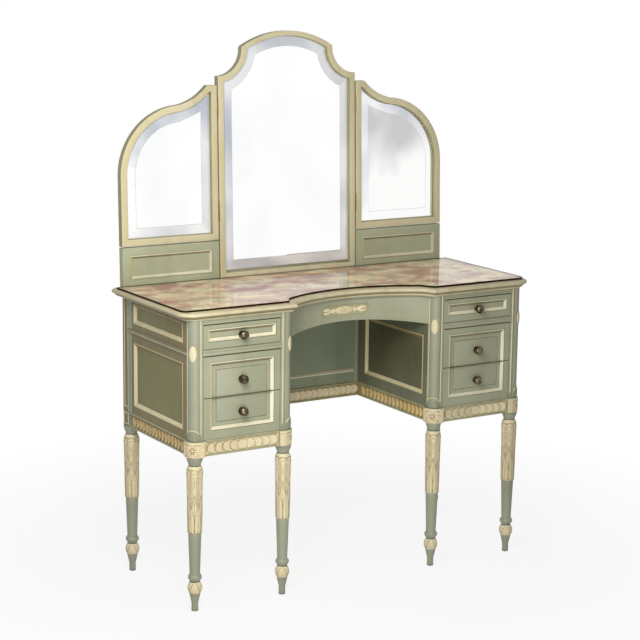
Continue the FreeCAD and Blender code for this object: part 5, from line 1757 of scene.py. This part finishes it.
PLAIN_NODES: dict[Finish, tuple[str, ...]] = {
    SAGE: ("drawer_rails", "apron", "kneehole_stiles"),
    SLATE: ("outer_posts", "inner_posts"),
    SIDE: ("side_frames", "rear_posts"),
    OLIVE: ("case_panels",),
    FRAME: ("front_bands",),
    UMBER_AND_SHADE: ("side_bands",),
    COVE: ("kneehole_bands",),
    DEEP: ("kneehole_back",),
    NICHE_SHADE: ("kneehole_sides",),
    PALE_WOOD: ("drawer_runners", "pedestal_floors") + tuple(
        f"drawer_box_{side.word}_{row.word}" for side in Side for row in Row),
    DARK_WOOD: ("pedestal_backs", "mirror_battens", "centre_backboard", "wing_backboard_left",
                "wing_backboard_right"),
    BRASS: ("fixed_hinge_leaves", "wing_hinge_leaves_left", "wing_hinge_leaves_right"),
    STEEL: ("batten_screws", "leg_glides"),
}


def dress_plain_nodes() -> None:
    """Give the parts that keep their own shape their finishes."""
    for finish, names in PLAIN_NODES.items():
        for name in names:
            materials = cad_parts[name].data.materials
            materials.clear()
            materials.append(finish.material())


@dataclass(frozen=True)
class Lamp:
    """A square lamp: power in watts, width in metres, its place and what it looks at."""
    name: str
    power: float
    size: float
    place: Triple
    target: Triple

    def build(self) -> None:
        """Make the lamp."""
        data = bpy.data.lights.new(self.name, "AREA")
        data.energy, data.size = self.power, self.size
        place = Vector(self.place)
        turn = (place - Vector(self.target)).to_track_quat("Z", "Y").to_matrix().to_4x4()
        linked(self.name, data).matrix_world = Matrix.Translation(place) @ turn


@dataclass
class Studio:
    """Camera, pale floor, white world, a key lamp from the upper left, and a low fill for the legs."""
    lens: float = 104.82
    sensor: float = 36.0
    floor_half: float = 30.0
    floor_grey: float = 0.86
    floor_matt: float = 0.9
    floor_fade: tuple[float, float, float, float] = (0.6, 1.5, 0.88, 1.0)
    place: Triple = (-2.52863, -4.105529, 1.61383)
    target: Triple = (0.0035, 0.016731, 0.65471)
    roll: float = 0.012082
    ambient: float = 0.22
    lamps: tuple[Lamp, ...] = (Lamp("key", 15.5, 0.6, (-0.95, -1.0, 1.5), (0.0, -0.1, 0.6)),
                               Lamp("fill", 6.5, 0.7, (-0.75, -1.45, 0.3), (-0.1, -0.1, 0.35)))

    def camera(self) -> None:
        """The photograph's viewpoint."""
        data = bpy.data.cameras.new("view")
        data.sensor_width, data.lens = self.sensor, self.lens
        data.clip_start, data.clip_end = 0.1, 100.0
        camera = linked("view", data)
        place, target = Vector(self.place), Vector(self.target)
        ahead = (target - place).normalized()
        right = ahead.cross(Vector((0, 0, 1))).normalized()
        up = right.cross(ahead)
        c, s = cos(self.roll), sin(self.roll)
        right, up = right * c + up * s, up * c - right * s
        turn = Matrix((right, up, -ahead)).transposed()
        camera.matrix_world = Matrix.Translation(place) @ turn.to_4x4()
        bpy.context.scene.camera = camera

    def world(self) -> None:
        """White to the eye, in gloss and through glass, and softer on the surfaces."""
        world = bpy.data.worlds.new("studio")
        world.use_nodes = True
        tree = Tree(world.node_tree)
        strength = tree.spread(tree.seen(), 0.0, 1.0, self.ambient, 1.0)
        background = world.node_tree.nodes["Background"]
        background.inputs["Color"].default_value = (1, 1, 1, 1)
        world.node_tree.links.new(strength, background.inputs["Strength"])
        bpy.context.scene.world = world

    def floor(self) -> None:
        """Pale floor that takes the shadow near the table and is white further out."""
        mesh, half = bpy.data.meshes.new("floor"), self.floor_half
        mesh.from_pydata([(x, y, 0) for x, y in rectangle(-half, -half, half, half)], [], [(0, 1, 2, 3)])
        material, tree, shader = blank_material("pale floor")
        shader.inputs["Base Color"].default_value = (*(self.floor_grey,) * 3, 1)
        shader.inputs["Roughness"].default_value = self.floor_matt
        reach = tree.add("ShaderNodeVectorMath", {0: tree.place()}, operation="LENGTH").outputs["Value"]
        far = tree.spread(reach, *self.floor_fade)
        glow = tree.add("ShaderNodeEmission", {"Color": (1, 1, 1, 1), "Strength": 1.0})
        share = tree.maths("MULTIPLY", tree.seen(), far)
        blend = tree.add("ShaderNodeMixShader", {0: share, 1: shader.outputs[0], 2: glow.outputs[0]})
        output = material.node_tree.nodes["Material Output"]
        material.node_tree.links.new(blend.outputs[0], output.inputs["Surface"])
        mesh.materials.append(material)
        linked("floor", mesh)

    def build(self) -> None:
        """Set up the studio."""
        self.camera()
        self.world()
        self.floor()
        for lamp in self.lamps:
            lamp.build()
        bpy.context.scene.view_settings.view_transform = "Standard"


def main() -> None:
    """Build the scene around the frame."""
    logging.basicConfig(level=logging.INFO, format="%(name)s: %(message)s")
    Studio().build()
    dress_plain_nodes()
    for part in (Mirrors(), Top(), Drawers(), Posts(), Bands(), Panels(), Legs(), Apron()):
        log.info("building %s", type(part).__name__)
        part.build()


if __name__ == "__main__":
    main()
